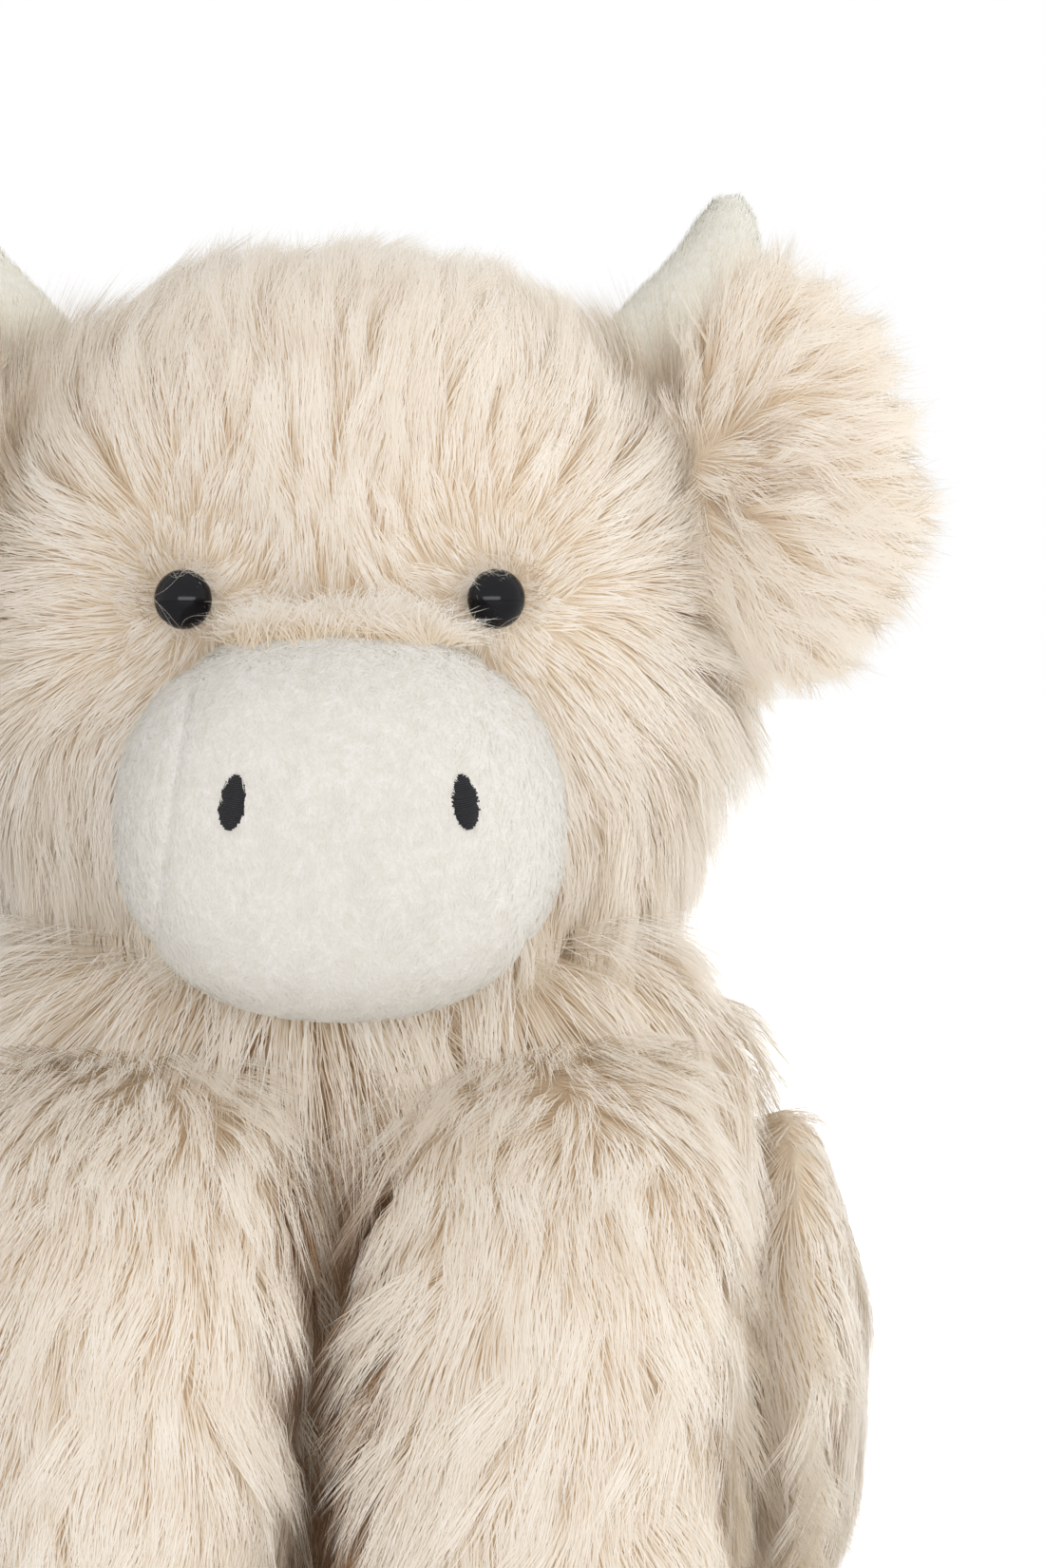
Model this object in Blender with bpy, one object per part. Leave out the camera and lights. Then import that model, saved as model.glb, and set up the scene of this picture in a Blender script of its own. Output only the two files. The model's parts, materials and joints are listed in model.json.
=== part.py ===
"""Seated plush cow with long fur, a short-pile muzzle, velour horns and sewn limbs.

Metres, +Z up. The origin is the middle of the flat seat. The face looks along -Y, and left means -X.
Each fur skin is as thick as its backing and the pile that lies on it.
"""

import math

import bpy
import bmesh
from mathutils import Matrix, Vector

# Fits that all pieces share
seam_gap = 0.0003
cut_overrun = 0.01
smooth_angle = math.radians(50)

# Fur fabric: backing with its lying pile, thicker on the torso and head than on the limbs
coat_thickness = 0.011
limb_coat_thickness = 0.009

# Torso, a pear shape that leans forward towards the neck
body_height = 0.187
body_half_width = 0.097
body_half_depth = 0.076
body_lean = 0.016
body_fullness = 2.5
body_sides = 32
# height, width, depth and lean
body_shares = (
    (0.00, 0.80, 0.80, 0.00),
    (0.03, 0.88, 0.88, 0.02),
    (0.10, 0.95, 0.95, 0.06),
    (0.22, 1.00, 1.00, 0.12),
    (0.36, 1.01, 1.01, 0.20),
    (0.50, 1.00, 0.99, 0.32),
    (0.64, 0.97, 0.94, 0.46),
    (0.76, 0.94, 0.88, 0.62),
    (0.86, 0.915, 0.82, 0.78),
    (0.93, 0.87, 0.76, 0.90),
    (0.975, 0.80, 0.69, 0.97),
    (1.00, 0.71, 0.61, 1.00),
)

# Weighted bag low in the seat
bag_height = 0.034
bag_half_width = 0.058
bag_half_depth = 0.045
bag_sides = 20
# height and spread
bag_shares = ((0.0, 0.72), (0.12, 0.90), (0.35, 1.0), (0.62, 0.96), (0.85, 0.76), (1.0, 0.42))

# Head, a broad dome that rests on the neck seam
head_height = 0.147
head_half_width = 0.082
head_half_depth = 0.070
head_forward = 0.028
head_sides = 32
# height, width and depth
head_shares = (
    (0.00, 0.77, 0.66),
    (0.025, 0.85, 0.74),
    (0.08, 0.935, 0.85),
    (0.18, 0.99, 0.93),
    (0.32, 1.01, 0.99),
    (0.48, 1.005, 1.01),
    (0.63, 0.96, 0.98),
    (0.76, 0.89, 0.91),
    (0.86, 0.78, 0.80),
    (0.93, 0.635, 0.65),
    (0.975, 0.435, 0.44),
    (1.00, 0.18, 0.18),
)

# Muzzle, a boxy dome of three panels sewn round the filling
muzzle_reach = 0.055
muzzle_root = 0.024
muzzle_half_width = 0.0475
muzzle_half_height = 0.0395
muzzle_above_neck = 0.0272
muzzle_panel_thickness = 0.0035
muzzle_seam_offset = 0.0355
muzzle_seam_slope = 0.15
muzzle_fullness = 2.25
muzzle_top_share = 1.06
muzzle_sides = 28
# reach, width, height and lift
muzzle_shares = (
    (0.00, 0.86, 0.80, 0.20),
    (0.24, 0.93, 0.90, 0.10),
    (0.45, 0.99, 0.985, 0.02),
    (0.60, 1.00, 1.00, 0.00),
    (0.73, 0.965, 0.965, 0.00),
    (0.84, 0.875, 0.875, 0.00),
    (0.92, 0.74, 0.74, 0.00),
    (0.973, 0.53, 0.53, 0.00),
    (1.00, 0.27, 0.27, 0.00),
)

# Embroidered nostrils
nostril_half_width = 0.0028
nostril_half_height = 0.0057
nostril_relief = 0.0008
nostril_offset = 0.0246
nostril_above_middle = 0.0074
nostril_sides = 14

# Safety eyes: dome, shank through the skin, lock washer behind it
eye_radius = 0.0067
eye_dome_height = 0.0052
eye_rim_height = 0.0008
eye_offset = 0.0328
eye_above_neck = 0.0732
eye_turn = math.radians(20)
eye_sink = 0.0038
shank_radius = 0.0018
shank_length = 0.014
washer_radius = 0.0060
washer_thickness = 0.0012
eye_sides = 18
eye_dome_rings = 5

# Horns, curved cones that leave the upper corners of the head
horn_root_radius = 0.0175
horn_flatness = 0.78
horn_skin_thickness = 0.0025
horn_behind_face = 0.013
horn_sides = 18
horn_root_offset = 0.051
horn_above_neck = 0.1027
horn_reach = 0.0355
horn_height = 0.0555
# reach, rise and radius
horn_shares = (
    (0.00, 0.00, 1.00),
    (0.45, 0.25, 1.00),
    (0.77, 0.52, 0.85),
    (0.93, 0.739, 0.62),
    (0.985, 0.90, 0.44),
    (1.00, 1.00, 0.24),
)

# Ears, flat and fluffy, each on a rounded root that lies in a groove of the head
ear_length = 0.047
ear_half_height = 0.0465
ear_half_thickness = 0.0150
ear_root_offset = 0.081
ear_root_radius = 0.0080
ear_root_half_height = 0.0165
ear_root_above_neck = 0.0907
ear_lift = 0.009
ear_before_head = 0.016
ear_sides = 22
# reach, height, thickness and how much of the way from root to middle height
ear_shares = (
    (0.00, 0.36, 0.50, 0.0),
    (0.08, 0.62, 0.68, 0.3),
    (0.18, 0.87, 0.88, 0.7),
    (0.31, 0.98, 1.00, 1.0),
    (0.46, 1.00, 1.00, 1.0),
    (0.62, 0.93, 0.97, 1.0),
    (0.77, 0.78, 0.87, 1.0),
    (0.90, 0.55, 0.64, 1.0),
    (1.00, 0.24, 0.28, 1.0),
)

# Front legs, sewn to the chest and hanging to the floor
shoulder_below_neck = 0.019
front_leg_half_width = 0.0425
front_leg_depth = 0.081
front_leg_clearance = 0.0015
floor_flat = 0.0005
shoulder_seam_radius = 0.011
shoulder_seam_drop = 0.024
shoulder_seam_depth = 0.028
shoulder_forward = 0.066
front_leg_sides = 22
# height, front face and back face before the shoulder line, and width
front_leg_shares = (
    (0.00, 0.98, 0.16, 0.90),
    (0.05, 1.04, 0.12, 0.99),
    (0.18, 1.05, 0.10, 1.00),
    (0.30, 0.98, 0.10, 0.99),
    (0.42, 0.88, 0.10, 0.95),
    (0.56, 0.82, 0.07, 0.93),
    (0.71, 0.76, 0.01, 0.95),
    (0.835, 0.62, -0.07, 0.93),
    (0.92, 0.44, -0.13, 0.83),
    (0.975, 0.27, -0.12, 0.64),
    (1.00, 0.11, -0.04, 0.34),
)

# Hind legs: a round thigh on the flat hip seam and a foot along the floor
hip_seam_inset = 0.009
hip_height = 0.088
hip_back = 0.006
thigh_thickness = 0.031
thigh_half_depth = 0.062
thigh_half_height = 0.066
hind_foot_width = 0.058
hind_foot_height = 0.051
hind_foot_reach = 0.146
hip_seam_radius = 0.020
hind_foot_fullness = 2.3
hind_leg_sides = 22
# out from the hip seam, and spread
thigh_shares = (
    (0.00, 0.72),
    (0.08, 0.84),
    (0.22, 0.95),
    (0.40, 1.00),
    (0.58, 0.96),
    (0.75, 0.84),
    (0.88, 0.65),
    (0.97, 0.40),
    (1.00, 0.18),
)
# reach, width, height and middle height
hind_foot_shares = (
    (-0.20, 0.24, 0.34, 1.35),
    (-0.12, 0.36, 0.60, 1.15),
    (0.00, 0.46, 0.84, 1.00),
    (0.18, 0.60, 0.93, 0.96),
    (0.40, 0.79, 0.96, 0.96),
    (0.62, 0.94, 1.00, 1.00),
    (0.80, 1.00, 1.00, 1.00),
    (0.91, 0.98, 0.98, 1.00),
    (0.97, 0.86, 0.87, 1.00),
    (1.00, 0.64, 0.64, 1.00),
)

# Tail, hanging down the back to a tuft
tail_radius = 0.0105
tuft_radius = 0.0165
tuft_top = 0.054
tail_sides = 14
tail_root_back = 0.052
tail_root_height = 0.113
tail_reach = 0.0415
# reach, drop and radius
tail_shares = (
    (0.00, 0.00, 0.85),
    (0.34, 0.025, 0.95),
    (0.65, 0.17, 0.95),
    (0.88, 0.44, 0.90),
    (0.976, 0.746, 0.85),
    (1.00, 1.00, 0.85),
)
# down from the top of the tuft, and spread
tuft_length = 0.046
tuft_shares = ((0.00, 0.58), (0.12, 0.80), (0.34, 1.00), (0.60, 0.92), (0.82, 0.62), (0.96, 0.30), (1.00, 0.14))

# Colours, as linear values, with roughness
fur_colour = (0.80, 0.72, 0.62)
filling_colour = (0.85, 0.85, 0.83)
bag_colour = (0.62, 0.58, 0.50)
muzzle_colour = (0.87, 0.86, 0.81)
horn_colour = (0.76, 0.77, 0.68)
thread_colour = (0.016, 0.016, 0.019)
eye_colour = (0.010, 0.010, 0.014)
washer_colour = (0.80, 0.80, 0.78)
fur_roughness = 0.95
filling_roughness = 0.98
short_pile_roughness = 0.9
thread_roughness = 0.55
eye_roughness = 0.08
washer_roughness = 0.45

neck_height = body_height + seam_gap
front_leg_height = body_height - shoulder_below_neck
hip_seam_offset = body_half_width - hip_seam_inset
face_front = -head_forward - head_half_depth
muzzle_middle_height = neck_height + muzzle_above_neck
eye_height = neck_height + eye_above_neck
ear_forward = -head_forward - ear_before_head
ear_root_height = neck_height + ear_root_above_neck
tail_hinge_back = tail_root_back + tail_reach * tail_shares[1][0]


def clear_scene():
    for item in list(bpy.data.objects):
        bpy.data.objects.remove(item)


def material(name, colour, roughness):
    finish = bpy.data.materials.new(name)
    finish.use_nodes = True
    shader = finish.node_tree.nodes["Principled BSDF"]
    shader.inputs["Base Color"].default_value = (*colour, 1)
    shader.inputs["Roughness"].default_value = roughness
    shader.inputs["Metallic"].default_value = 0
    return finish


def new_piece(name, form, finish=None):
    """An object from a bmesh, shaded smooth; the bmesh is used up."""
    bmesh.ops.recalc_face_normals(form, faces=form.faces)
    mesh = bpy.data.meshes.new(name)
    form.to_mesh(mesh)
    form.free()
    mesh.shade_smooth()
    mesh.set_sharp_from_angle(angle=smooth_angle)
    piece = bpy.data.objects.new(name, mesh)
    bpy.context.collection.objects.link(piece)
    if finish:
        mesh.materials.append(finish)
    return piece


def oval(middle, across, up, sides, fullness=2.0):
    """Points of a superellipse; across and up are its half axes as vectors."""
    points = []
    for step in range(sides):
        turn = math.tau * step / sides
        swing, rise = math.cos(turn), math.sin(turn)
        along = math.copysign(abs(swing) ** (2 / fullness), swing)
        above = math.copysign(abs(rise) ** (2 / fullness), rise)
        points.append(middle + across * along + up * above)
    return points


def loft(rings):
    """A closed bmesh through rings of equal length, with a flat cap at each end."""
    form = bmesh.new()
    rows = [[form.verts.new(point) for point in ring] for ring in rings]
    count = len(rows[0])
    for low, high in zip(rows, rows[1:]):
        for step in range(count):
            after = (step + 1) % count
            form.faces.new((low[step], low[after], high[after], high[step]))
    form.faces.new(list(reversed(rows[0])))
    form.faces.new(rows[-1])
    return form


def grow(form, distance):
    """Move every face out by the distance, or in where it is negative."""
    bmesh.ops.recalc_face_normals(form, faces=form.faces)
    form.normal_update()
    shifts = [vertex.normal * vertex.calc_shell_factor() * distance for vertex in form.verts]
    for vertex, shift in zip(form.verts, shifts):
        vertex.co += shift
    return form


def combine(piece, form, operation):
    """Cut, join or intersect the piece with a bmesh, at once."""
    tool = new_piece("tool", form)
    step = piece.modifiers.new(operation, "BOOLEAN")
    step.operation = operation
    step.solver = "EXACT"
    step.object = tool
    graph = bpy.context.evaluated_depsgraph_get()
    shaped = bpy.data.meshes.new_from_object(piece.evaluated_get(graph))
    piece.modifiers.clear()
    spent = (piece.data, tool.data)
    piece.data = shaped
    bpy.data.objects.remove(tool)
    for mesh in spent:
        bpy.data.meshes.remove(mesh)
    shaped.shade_smooth()
    shaped.set_sharp_from_angle(angle=smooth_angle)
    return piece


def cut(piece, form):
    return combine(piece, form, "DIFFERENCE")


def join(piece, form):
    return combine(piece, form, "UNION")


def keep_within(piece, form):
    return combine(piece, form, "INTERSECT")


def form_of(piece):
    """The piece turned back into a bmesh."""
    form = bmesh.new()
    form.from_mesh(piece.data)
    bpy.data.objects.remove(piece)
    return form


def block(low, high):
    """A box from its lowest to its highest corner."""
    form = bmesh.new()
    size = Vector(high) - Vector(low)
    middle = (Vector(high) + Vector(low)) / 2
    bmesh.ops.create_cube(form, size=1, matrix=Matrix.Translation(middle) @ Matrix.Diagonal((*size, 1)))
    return form


def rod(start, end, radius, sides):
    """A round bar between two points."""
    start, end = Vector(start), Vector(end)
    along = end - start
    turn = along.to_track_quat("Z", "Y").to_matrix().to_4x4()
    form = bmesh.new()
    bmesh.ops.create_cone(
        form,
        cap_ends=True,
        segments=sides,
        radius1=radius,
        radius2=radius,
        depth=along.length,
        matrix=Matrix.Translation((start + end) / 2) @ turn,
    )
    return form


def tube(path, radii, sides, flatness=1.0):
    """A tapered tube along points in the XZ or YZ plane; flatness narrows it across that plane."""
    points = [Vector(point) for point in path]
    rings = []
    for index, (point, radius) in enumerate(zip(points, radii)):
        before = points[max(index - 1, 0)]
        after = points[min(index + 1, len(points) - 1)]
        along = (after - before).normalized()
        across = Vector((0, 1, 0)) if abs(points[0].x - points[-1].x) > 0 else Vector((1, 0, 0))
        up = along.cross(across).normalized()
        rings.append(oval(point, across * radius * flatness, up * radius, sides))
    return loft(rings)


def hinge_point(name, place, pieces):
    """An empty on a joint's axis that carries the pieces which move there."""
    pivot = bpy.data.objects.new(name, None)
    pivot.location = place
    bpy.context.collection.objects.link(pivot)
    for piece in pieces:
        piece.parent = pivot
        piece.matrix_parent_inverse = Matrix.Translation(place).inverted()
    return pivot


# Torso


def body_form():
    rings = []
    for height, width, depth, lean in body_shares:
        middle = Vector((0, -body_lean * lean, body_height * height))
        across = Vector((body_half_width * width, 0, 0))
        deep = Vector((0, body_half_depth * depth, 0))
        rings.append(oval(middle, across, deep, body_sides, body_fullness))
    return loft(rings)


def open_upwards(form, level):
    """Draw the top cap up past the level, so that a cut with this form leaves an opening."""
    top = max(vertex.co.z for vertex in form.verts)
    for vertex in form.verts:
        if vertex.co.z > top - seam_gap:
            vertex.co.z = level + cut_overrun
    return form


def open_downwards(form, level):
    low = min(vertex.co.z for vertex in form.verts)
    for vertex in form.verts:
        if vertex.co.z < low + seam_gap:
            vertex.co.z = level - cut_overrun
    return form


def hip_seam_cutter(side, offset):
    """All the room beyond the flat hip seam on one side."""
    far = body_half_width + hind_foot_width
    reach = body_half_depth + hind_foot_reach
    near_edge, far_edge = sorted((side * offset, side * far))
    return block((near_edge, -reach, -cut_overrun), (far_edge, reach, body_height + cut_overrun))


def bag_form():
    rings = []
    floor = coat_thickness + 2 * seam_gap
    for height, spread in bag_shares:
        middle = Vector((0, 0, floor + bag_height * height))
        across = Vector((bag_half_width * spread, 0, 0))
        deep = Vector((0, bag_half_depth * spread, 0))
        rings.append(oval(middle, across, deep, bag_sides))
    return loft(rings)


def make_torso(fur, fibre, cotton):
    skin = new_piece("body_skin", body_form(), fur)
    hollow = new_piece("hollow", open_upwards(grow(body_form(), -coat_thickness), body_height))
    filling = new_piece(
        "body_filling", open_upwards(grow(body_form(), -coat_thickness - seam_gap), body_height), fibre
    )
    for side in (-1, 1):
        cut(skin, hip_seam_cutter(side, hip_seam_offset))
        cut(filling, hip_seam_cutter(side, hip_seam_offset - coat_thickness - seam_gap))
        cut(hollow, hip_seam_cutter(side, hip_seam_offset - coat_thickness))
    cut(skin, form_of(hollow))
    reach = body_half_width + body_half_depth
    above = block((-reach, -reach, body_height), (reach, reach, body_height + 2 * cut_overrun))
    cut(filling, above)
    bag_room = open_downwards(grow(bag_form(), seam_gap), coat_thickness)
    cut(filling, bag_room)
    bag = new_piece("pellet_bag", bag_form(), cotton)
    return [skin, filling, bag]


# Head


def head_form():
    rings = []
    for height, width, depth in head_shares:
        middle = Vector((0, -head_forward, neck_height + head_height * height))
        across = Vector((head_half_width * width, 0, 0))
        deep = Vector((0, head_half_depth * depth, 0))
        rings.append(oval(middle, across, deep, head_sides))
    return loft(rings)


def muzzle_form():
    """The muzzle as one dome along -Y, from inside the head to its flat front."""
    rings = []
    back = face_front + muzzle_root
    length = muzzle_root + muzzle_reach
    for reach, width, height, lift in muzzle_shares:
        middle = Vector((0, back - length * reach, muzzle_middle_height + muzzle_half_height * lift))
        across = Vector((muzzle_half_width * width, 0, 0))
        up = Vector((0, 0, muzzle_half_height * height))
        ring = oval(middle, across, up, muzzle_sides, muzzle_fullness)
        for point in ring:
            point.z += max(0, point.z - middle.z) * (muzzle_top_share - 1)
        rings.append(ring)
    return loft(rings)


def muzzle_side_room(side, shift):
    """The room outside one muzzle seam, a leaning plane, moved outwards by the shift."""
    half = 2 * muzzle_half_height
    reach = muzzle_root + muzzle_reach + cut_overrun
    back = face_front + muzzle_root + cut_overrun
    far = side * 2 * muzzle_half_width
    corners = []
    for height in (-half, half):
        seam = side * (muzzle_seam_offset + shift - muzzle_seam_slope * height)
        for depth in (back, back - reach - cut_overrun):
            corners.append((seam, depth, muzzle_middle_height + height))
            corners.append((far, depth, muzzle_middle_height + height))
    form = bmesh.new()
    corner = [form.verts.new(place) for place in corners]
    for face in ((0, 1, 3, 2), (4, 5, 7, 6), (0, 1, 5, 4), (2, 3, 7, 6), (0, 2, 6, 4), (1, 3, 7, 5)):
        form.faces.new([corner[index] for index in face])
    bmesh.ops.recalc_face_normals(form, faces=form.faces)
    return form


def on_head(across, height):
    """The front point of the head's surface at this offset and height, and its level there."""
    share = (height - neck_height) / head_height
    for low, high in zip(head_shares, head_shares[1:]):
        if low[0] <= share <= high[0]:
            part = (share - low[0]) / (high[0] - low[0])
            width = head_half_width * (low[1] + (high[1] - low[1]) * part)
            depth = head_half_depth * (low[2] + (high[2] - low[2]) * part)
            return Vector((across, -head_forward - depth * math.sqrt(1 - (across / width) ** 2), height))
    return Vector((across, face_front, height))


def eye_frame(side):
    """Where an eye's flange rests, and the way the eye looks."""
    outward = Vector((side * math.sin(eye_turn), -math.cos(eye_turn), 0))
    surface = on_head(side * eye_offset, eye_height)
    return surface - outward * eye_sink, outward


def eye_form(side):
    seat, outward = eye_frame(side)
    across = Vector((0, 0, 1)).cross(outward)
    up = outward.cross(across)
    rings = []
    rings.append(oval(seat - outward * shank_length, across * shank_radius, up * shank_radius, eye_sides))
    rings.append(oval(seat, across * shank_radius, up * shank_radius, eye_sides))
    rings.append(oval(seat, across * eye_radius, up * eye_radius, eye_sides))
    for step in range(eye_dome_rings):
        turn = math.pi / 2 * step / eye_dome_rings
        radius = eye_radius * math.cos(turn)
        height = eye_rim_height + eye_dome_height * math.sin(turn)
        rings.append(oval(seat + outward * height, across * radius, up * radius, eye_sides))
    return loft(rings)


def make_eye(side, word, plastic, washer_plastic):
    seat, outward = eye_frame(side)
    eye = new_piece("eye_" + word, eye_form(side), plastic)
    behind_skin = washer_seat()
    start = seat - outward * behind_skin
    end = start - outward * washer_thickness
    washer = new_piece("eye_washer_" + word, rod(start, end, washer_radius, eye_sides), washer_plastic)
    hole = rod(start + outward * cut_overrun, end - outward * cut_overrun, shank_radius + seam_gap, eye_sides)
    cut(washer, hole)
    return [eye, washer]


def washer_seat():
    """How far behind the eye's flange the lock washer lies, just inside the skin."""
    return coat_thickness - eye_sink + 2 * seam_gap + washer_radius * math.sin(eye_turn) / 2


def cut_eye_room(skin, filling, side):
    seat, outward = eye_frame(side)
    pocket = rod(
        seat - outward * seam_gap, seat + outward * cut_overrun, eye_radius + 2 * seam_gap, eye_sides
    )
    bore = rod(seat + outward * seam_gap, seat - outward * (shank_length + cut_overrun),
               shank_radius + 2 * seam_gap, eye_sides)
    cut(skin, pocket)
    cut(skin, bore)
    washer_start = seat - outward * (washer_seat() - seam_gap)
    washer_end = seat - outward * (shank_length + seam_gap)
    room = rod(washer_start, washer_end, washer_radius + 2 * seam_gap, eye_sides)
    cut(skin, rod(washer_start, washer_end, washer_radius + 2 * seam_gap, eye_sides))
    mouth = rod(seat + outward * cut_overrun, washer_end, shank_radius + 2 * seam_gap, eye_sides)
    cut(filling, room)
    cut(filling, mouth)


def make_head(fur, fibre):
    skin = new_piece("head_skin", head_form(), fur)
    cut(skin, open_downwards(grow(head_form(), -coat_thickness), neck_height))
    cut(skin, muzzle_core(0))
    filling = new_piece(
        "head_filling", open_downwards(grow(head_form(), -coat_thickness - seam_gap), neck_height), fibre
    )
    join(filling, muzzle_core(-seam_gap))
    reach = 2 * head_half_width
    below = block((-reach, -reach, neck_height - 2 * cut_overrun), (reach, reach, neck_height))
    cut(filling, below)
    for side in (-1, 1):
        cut_eye_room(skin, filling, side)
        cut(skin, ear_groove(side))
    return [skin, filling]


def muzzle_core(shift):
    return grow(muzzle_form(), shift - muzzle_panel_thickness)


def make_muzzle(short_pile):
    panels = []
    for name, side in (("muzzle_center_panel", 0), ("muzzle_left_panel", -1), ("muzzle_right_panel", 1)):
        panel = new_piece(name, muzzle_form(), short_pile)
        back = muzzle_core(0)
        cut(panel, back)
        cut(panel, grow(head_form(), seam_gap))
        if side:
            keep_within(panel, muzzle_side_room(side, seam_gap / 2))
        else:
            cut(panel, muzzle_side_room(-1, -seam_gap / 2))
            cut(panel, muzzle_side_room(1, -seam_gap / 2))
        panels.append(panel)
    return panels


def make_nostril(side, word, thread):
    """A stitched oval that follows the front of the muzzle."""
    front = face_front - muzzle_reach - cut_overrun
    back = face_front - muzzle_reach / 2
    rings = []
    for depth in (back, front):
        middle = Vector((side * nostril_offset, depth, muzzle_middle_height + nostril_above_middle))
        across = Vector((nostril_half_width, 0, 0))
        up = Vector((0, 0, nostril_half_height))
        rings.append(oval(middle, across, up, nostril_sides))
    nostril = new_piece("nostril_" + word, loft(rings), thread)
    keep_within(nostril, grow(muzzle_form(), seam_gap + nostril_relief))
    cut(nostril, grow(muzzle_form(), seam_gap))
    return nostril


# Horns and ears


def horn_form(side, shift=0.0):
    path = []
    radii = []
    for reach, rise, spread in horn_shares:
        out = side * (horn_root_offset + horn_reach * reach)
        path.append((out, -head_forward + horn_behind_face, neck_height + horn_above_neck + horn_height * rise))
        radii.append(horn_root_radius * spread)
    form = tube(path, radii, horn_sides, horn_flatness)
    return grow(form, shift)


def make_horn(side, word, velour, fibre):
    skin = new_piece("horn_" + word, horn_form(side), velour)
    cut(skin, horn_form(side, -horn_skin_thickness))
    cut(skin, grow(head_form(), seam_gap))
    filling = new_piece("horn_" + word + "_filling", horn_form(side, -horn_skin_thickness - seam_gap), fibre)
    cut(filling, grow(head_form(), seam_gap))
    return [skin, filling]


def ear_groove(side):
    """The groove that the ear's rounded root is sewn into."""
    top = ear_root_height + ear_root_half_height + seam_gap
    low = ear_root_height - ear_root_half_height - seam_gap
    place = (side * ear_root_offset, ear_forward)
    return rod((*place, low), (*place, top), ear_root_radius + seam_gap, ear_sides)


def make_ear(side, word, fur):
    rings = []
    for reach, height, thickness, way_up in ear_shares:
        level = ear_root_height + ear_lift * way_up
        middle = Vector((side * (ear_root_offset + ear_length * reach), ear_forward, level))
        up = Vector((0, 0, ear_half_height * height))
        thick = Vector((0, ear_half_thickness * thickness, 0))
        rings.append(oval(middle, thick, up, ear_sides))
    ear = new_piece("ear_" + word, loft(rings), fur)
    top = ear_root_height + ear_root_half_height
    low = ear_root_height - ear_root_half_height
    place = (side * ear_root_offset, ear_forward)
    join(ear, rod((*place, low), (*place, top), ear_root_radius, ear_sides))
    return ear


# Front legs


def front_leg_form(side, inset=0.0):
    """The leg from foot to shoulder; with an inset, the room inside a coat of that thickness."""
    rings = []
    middle_line = side * (front_leg_clearance + front_leg_half_width)
    for height, front, back, width in front_leg_shares:
        half_depth = front_leg_depth * (front - back) / 2
        if half_depth < inset * 2:
            continue
        middle_depth = -shoulder_forward - front_leg_depth * (front + back) / 2
        level = inset + (front_leg_height - 2 * inset) * height
        middle = Vector((middle_line, middle_depth, level))
        across = Vector((front_leg_half_width * width - inset, 0, 0))
        deep = Vector((0, half_depth - inset, 0))
        rings.append(oval(middle, across, deep, front_leg_sides))
    return loft(rings)


def shoulder_seam(side, shift):
    """The round neck through which the leg's filling meets the chest seam."""
    across = side * (front_leg_clearance + front_leg_half_width)
    height = front_leg_height - shoulder_seam_drop
    start = (across, -shoulder_forward - shoulder_seam_depth, height)
    end = (across, 0, height)
    return rod(start, end, shoulder_seam_radius + shift, eye_sides)


def make_front_leg(side, word, fur, fibre):
    sleeve = new_piece("front_leg_" + word, front_leg_form(side), fur)
    cut(sleeve, front_leg_form(side, limb_coat_thickness))
    cut(sleeve, shoulder_seam(side, seam_gap))
    cut(sleeve, grow(body_form(), seam_gap))
    core = front_leg_form(side, limb_coat_thickness + seam_gap)
    filling = new_piece("front_leg_" + word + "_filling", core, fibre)
    join(filling, shoulder_seam(side, 0))
    cut(filling, grow(body_form(), seam_gap))
    return [sleeve, filling]


# Hind legs


def thigh_form(side, inset=0.0):
    """A cushion on the hip seam, as rings about the X axis; with an inset, the room inside its coat."""
    rings = []
    for out, spread in thigh_shares:
        half_height = thigh_half_height * spread - inset
        half_depth = thigh_half_depth * spread - inset
        if half_depth < inset:
            continue
        across = side * (hip_seam_offset + inset + (thigh_thickness - 2 * inset) * out)
        if not rings and not inset:
            across -= side * cut_overrun
        middle = Vector((across, hip_back, hip_height))
        rings.append(oval(middle, Vector((0, half_depth, 0)), Vector((0, 0, half_height)), hind_leg_sides))
    return loft(rings)


def hind_foot_form(side, inset=0.0):
    """The foot along the floor; with an inset, the room inside its coat."""
    rings = []
    for reach, width, height, middle_height in hind_foot_shares:
        half_width = hind_foot_width * width / 2
        half_height = hind_foot_height * height / 2
        if half_width < 1.5 * inset:
            continue
        out = side * (hip_seam_offset + half_width - cut_overrun * (1 - reach))
        level = (hind_foot_height / 2) * middle_height - floor_flat
        depth = hip_back - inset - (hind_foot_reach - 2 * inset) * reach
        middle = Vector((out, depth, level))
        across = Vector((half_width - inset, 0, 0))
        up = Vector((0, 0, half_height - inset))
        rings.append(oval(middle, across, up, hind_leg_sides, hind_foot_fullness))
    return loft(rings)


def below_floor():
    """All the room below the floor that the toy sits on."""
    reach = 2 * (body_half_width + hind_foot_reach)
    return block((-reach, -reach, -cut_overrun), (reach, reach, 0))


def make_hind_leg(side, word, fur, fibre):
    seam = hip_seam_offset + seam_gap
    inside = limb_coat_thickness + seam_gap
    thigh = new_piece("hind_leg_" + word, thigh_form(side), fur)
    cut(thigh, block_inside(side, seam))
    cut(thigh, thigh_form(side, limb_coat_thickness))
    cut(thigh, hip_neck(side, seam_gap))
    thigh_filling = new_piece("hind_leg_" + word + "_filling", thigh_form(side, inside), fibre)
    join(thigh_filling, hip_neck(side, 0))
    cut(thigh_filling, block_inside(side, seam))
    foot = new_piece("hind_foot_" + word, hind_foot_form(side), fur)
    cut(foot, hind_foot_form(side, limb_coat_thickness))
    cut(foot, block_inside(side, seam))
    cut(foot, below_floor())
    cut(foot, grow(thigh_form(side), seam_gap))
    foot_filling = new_piece("hind_foot_" + word + "_filling", hind_foot_form(side, inside), fibre)
    cut(foot_filling, grow(thigh_form(side), seam_gap))
    return [thigh, thigh_filling, foot, foot_filling]


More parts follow.
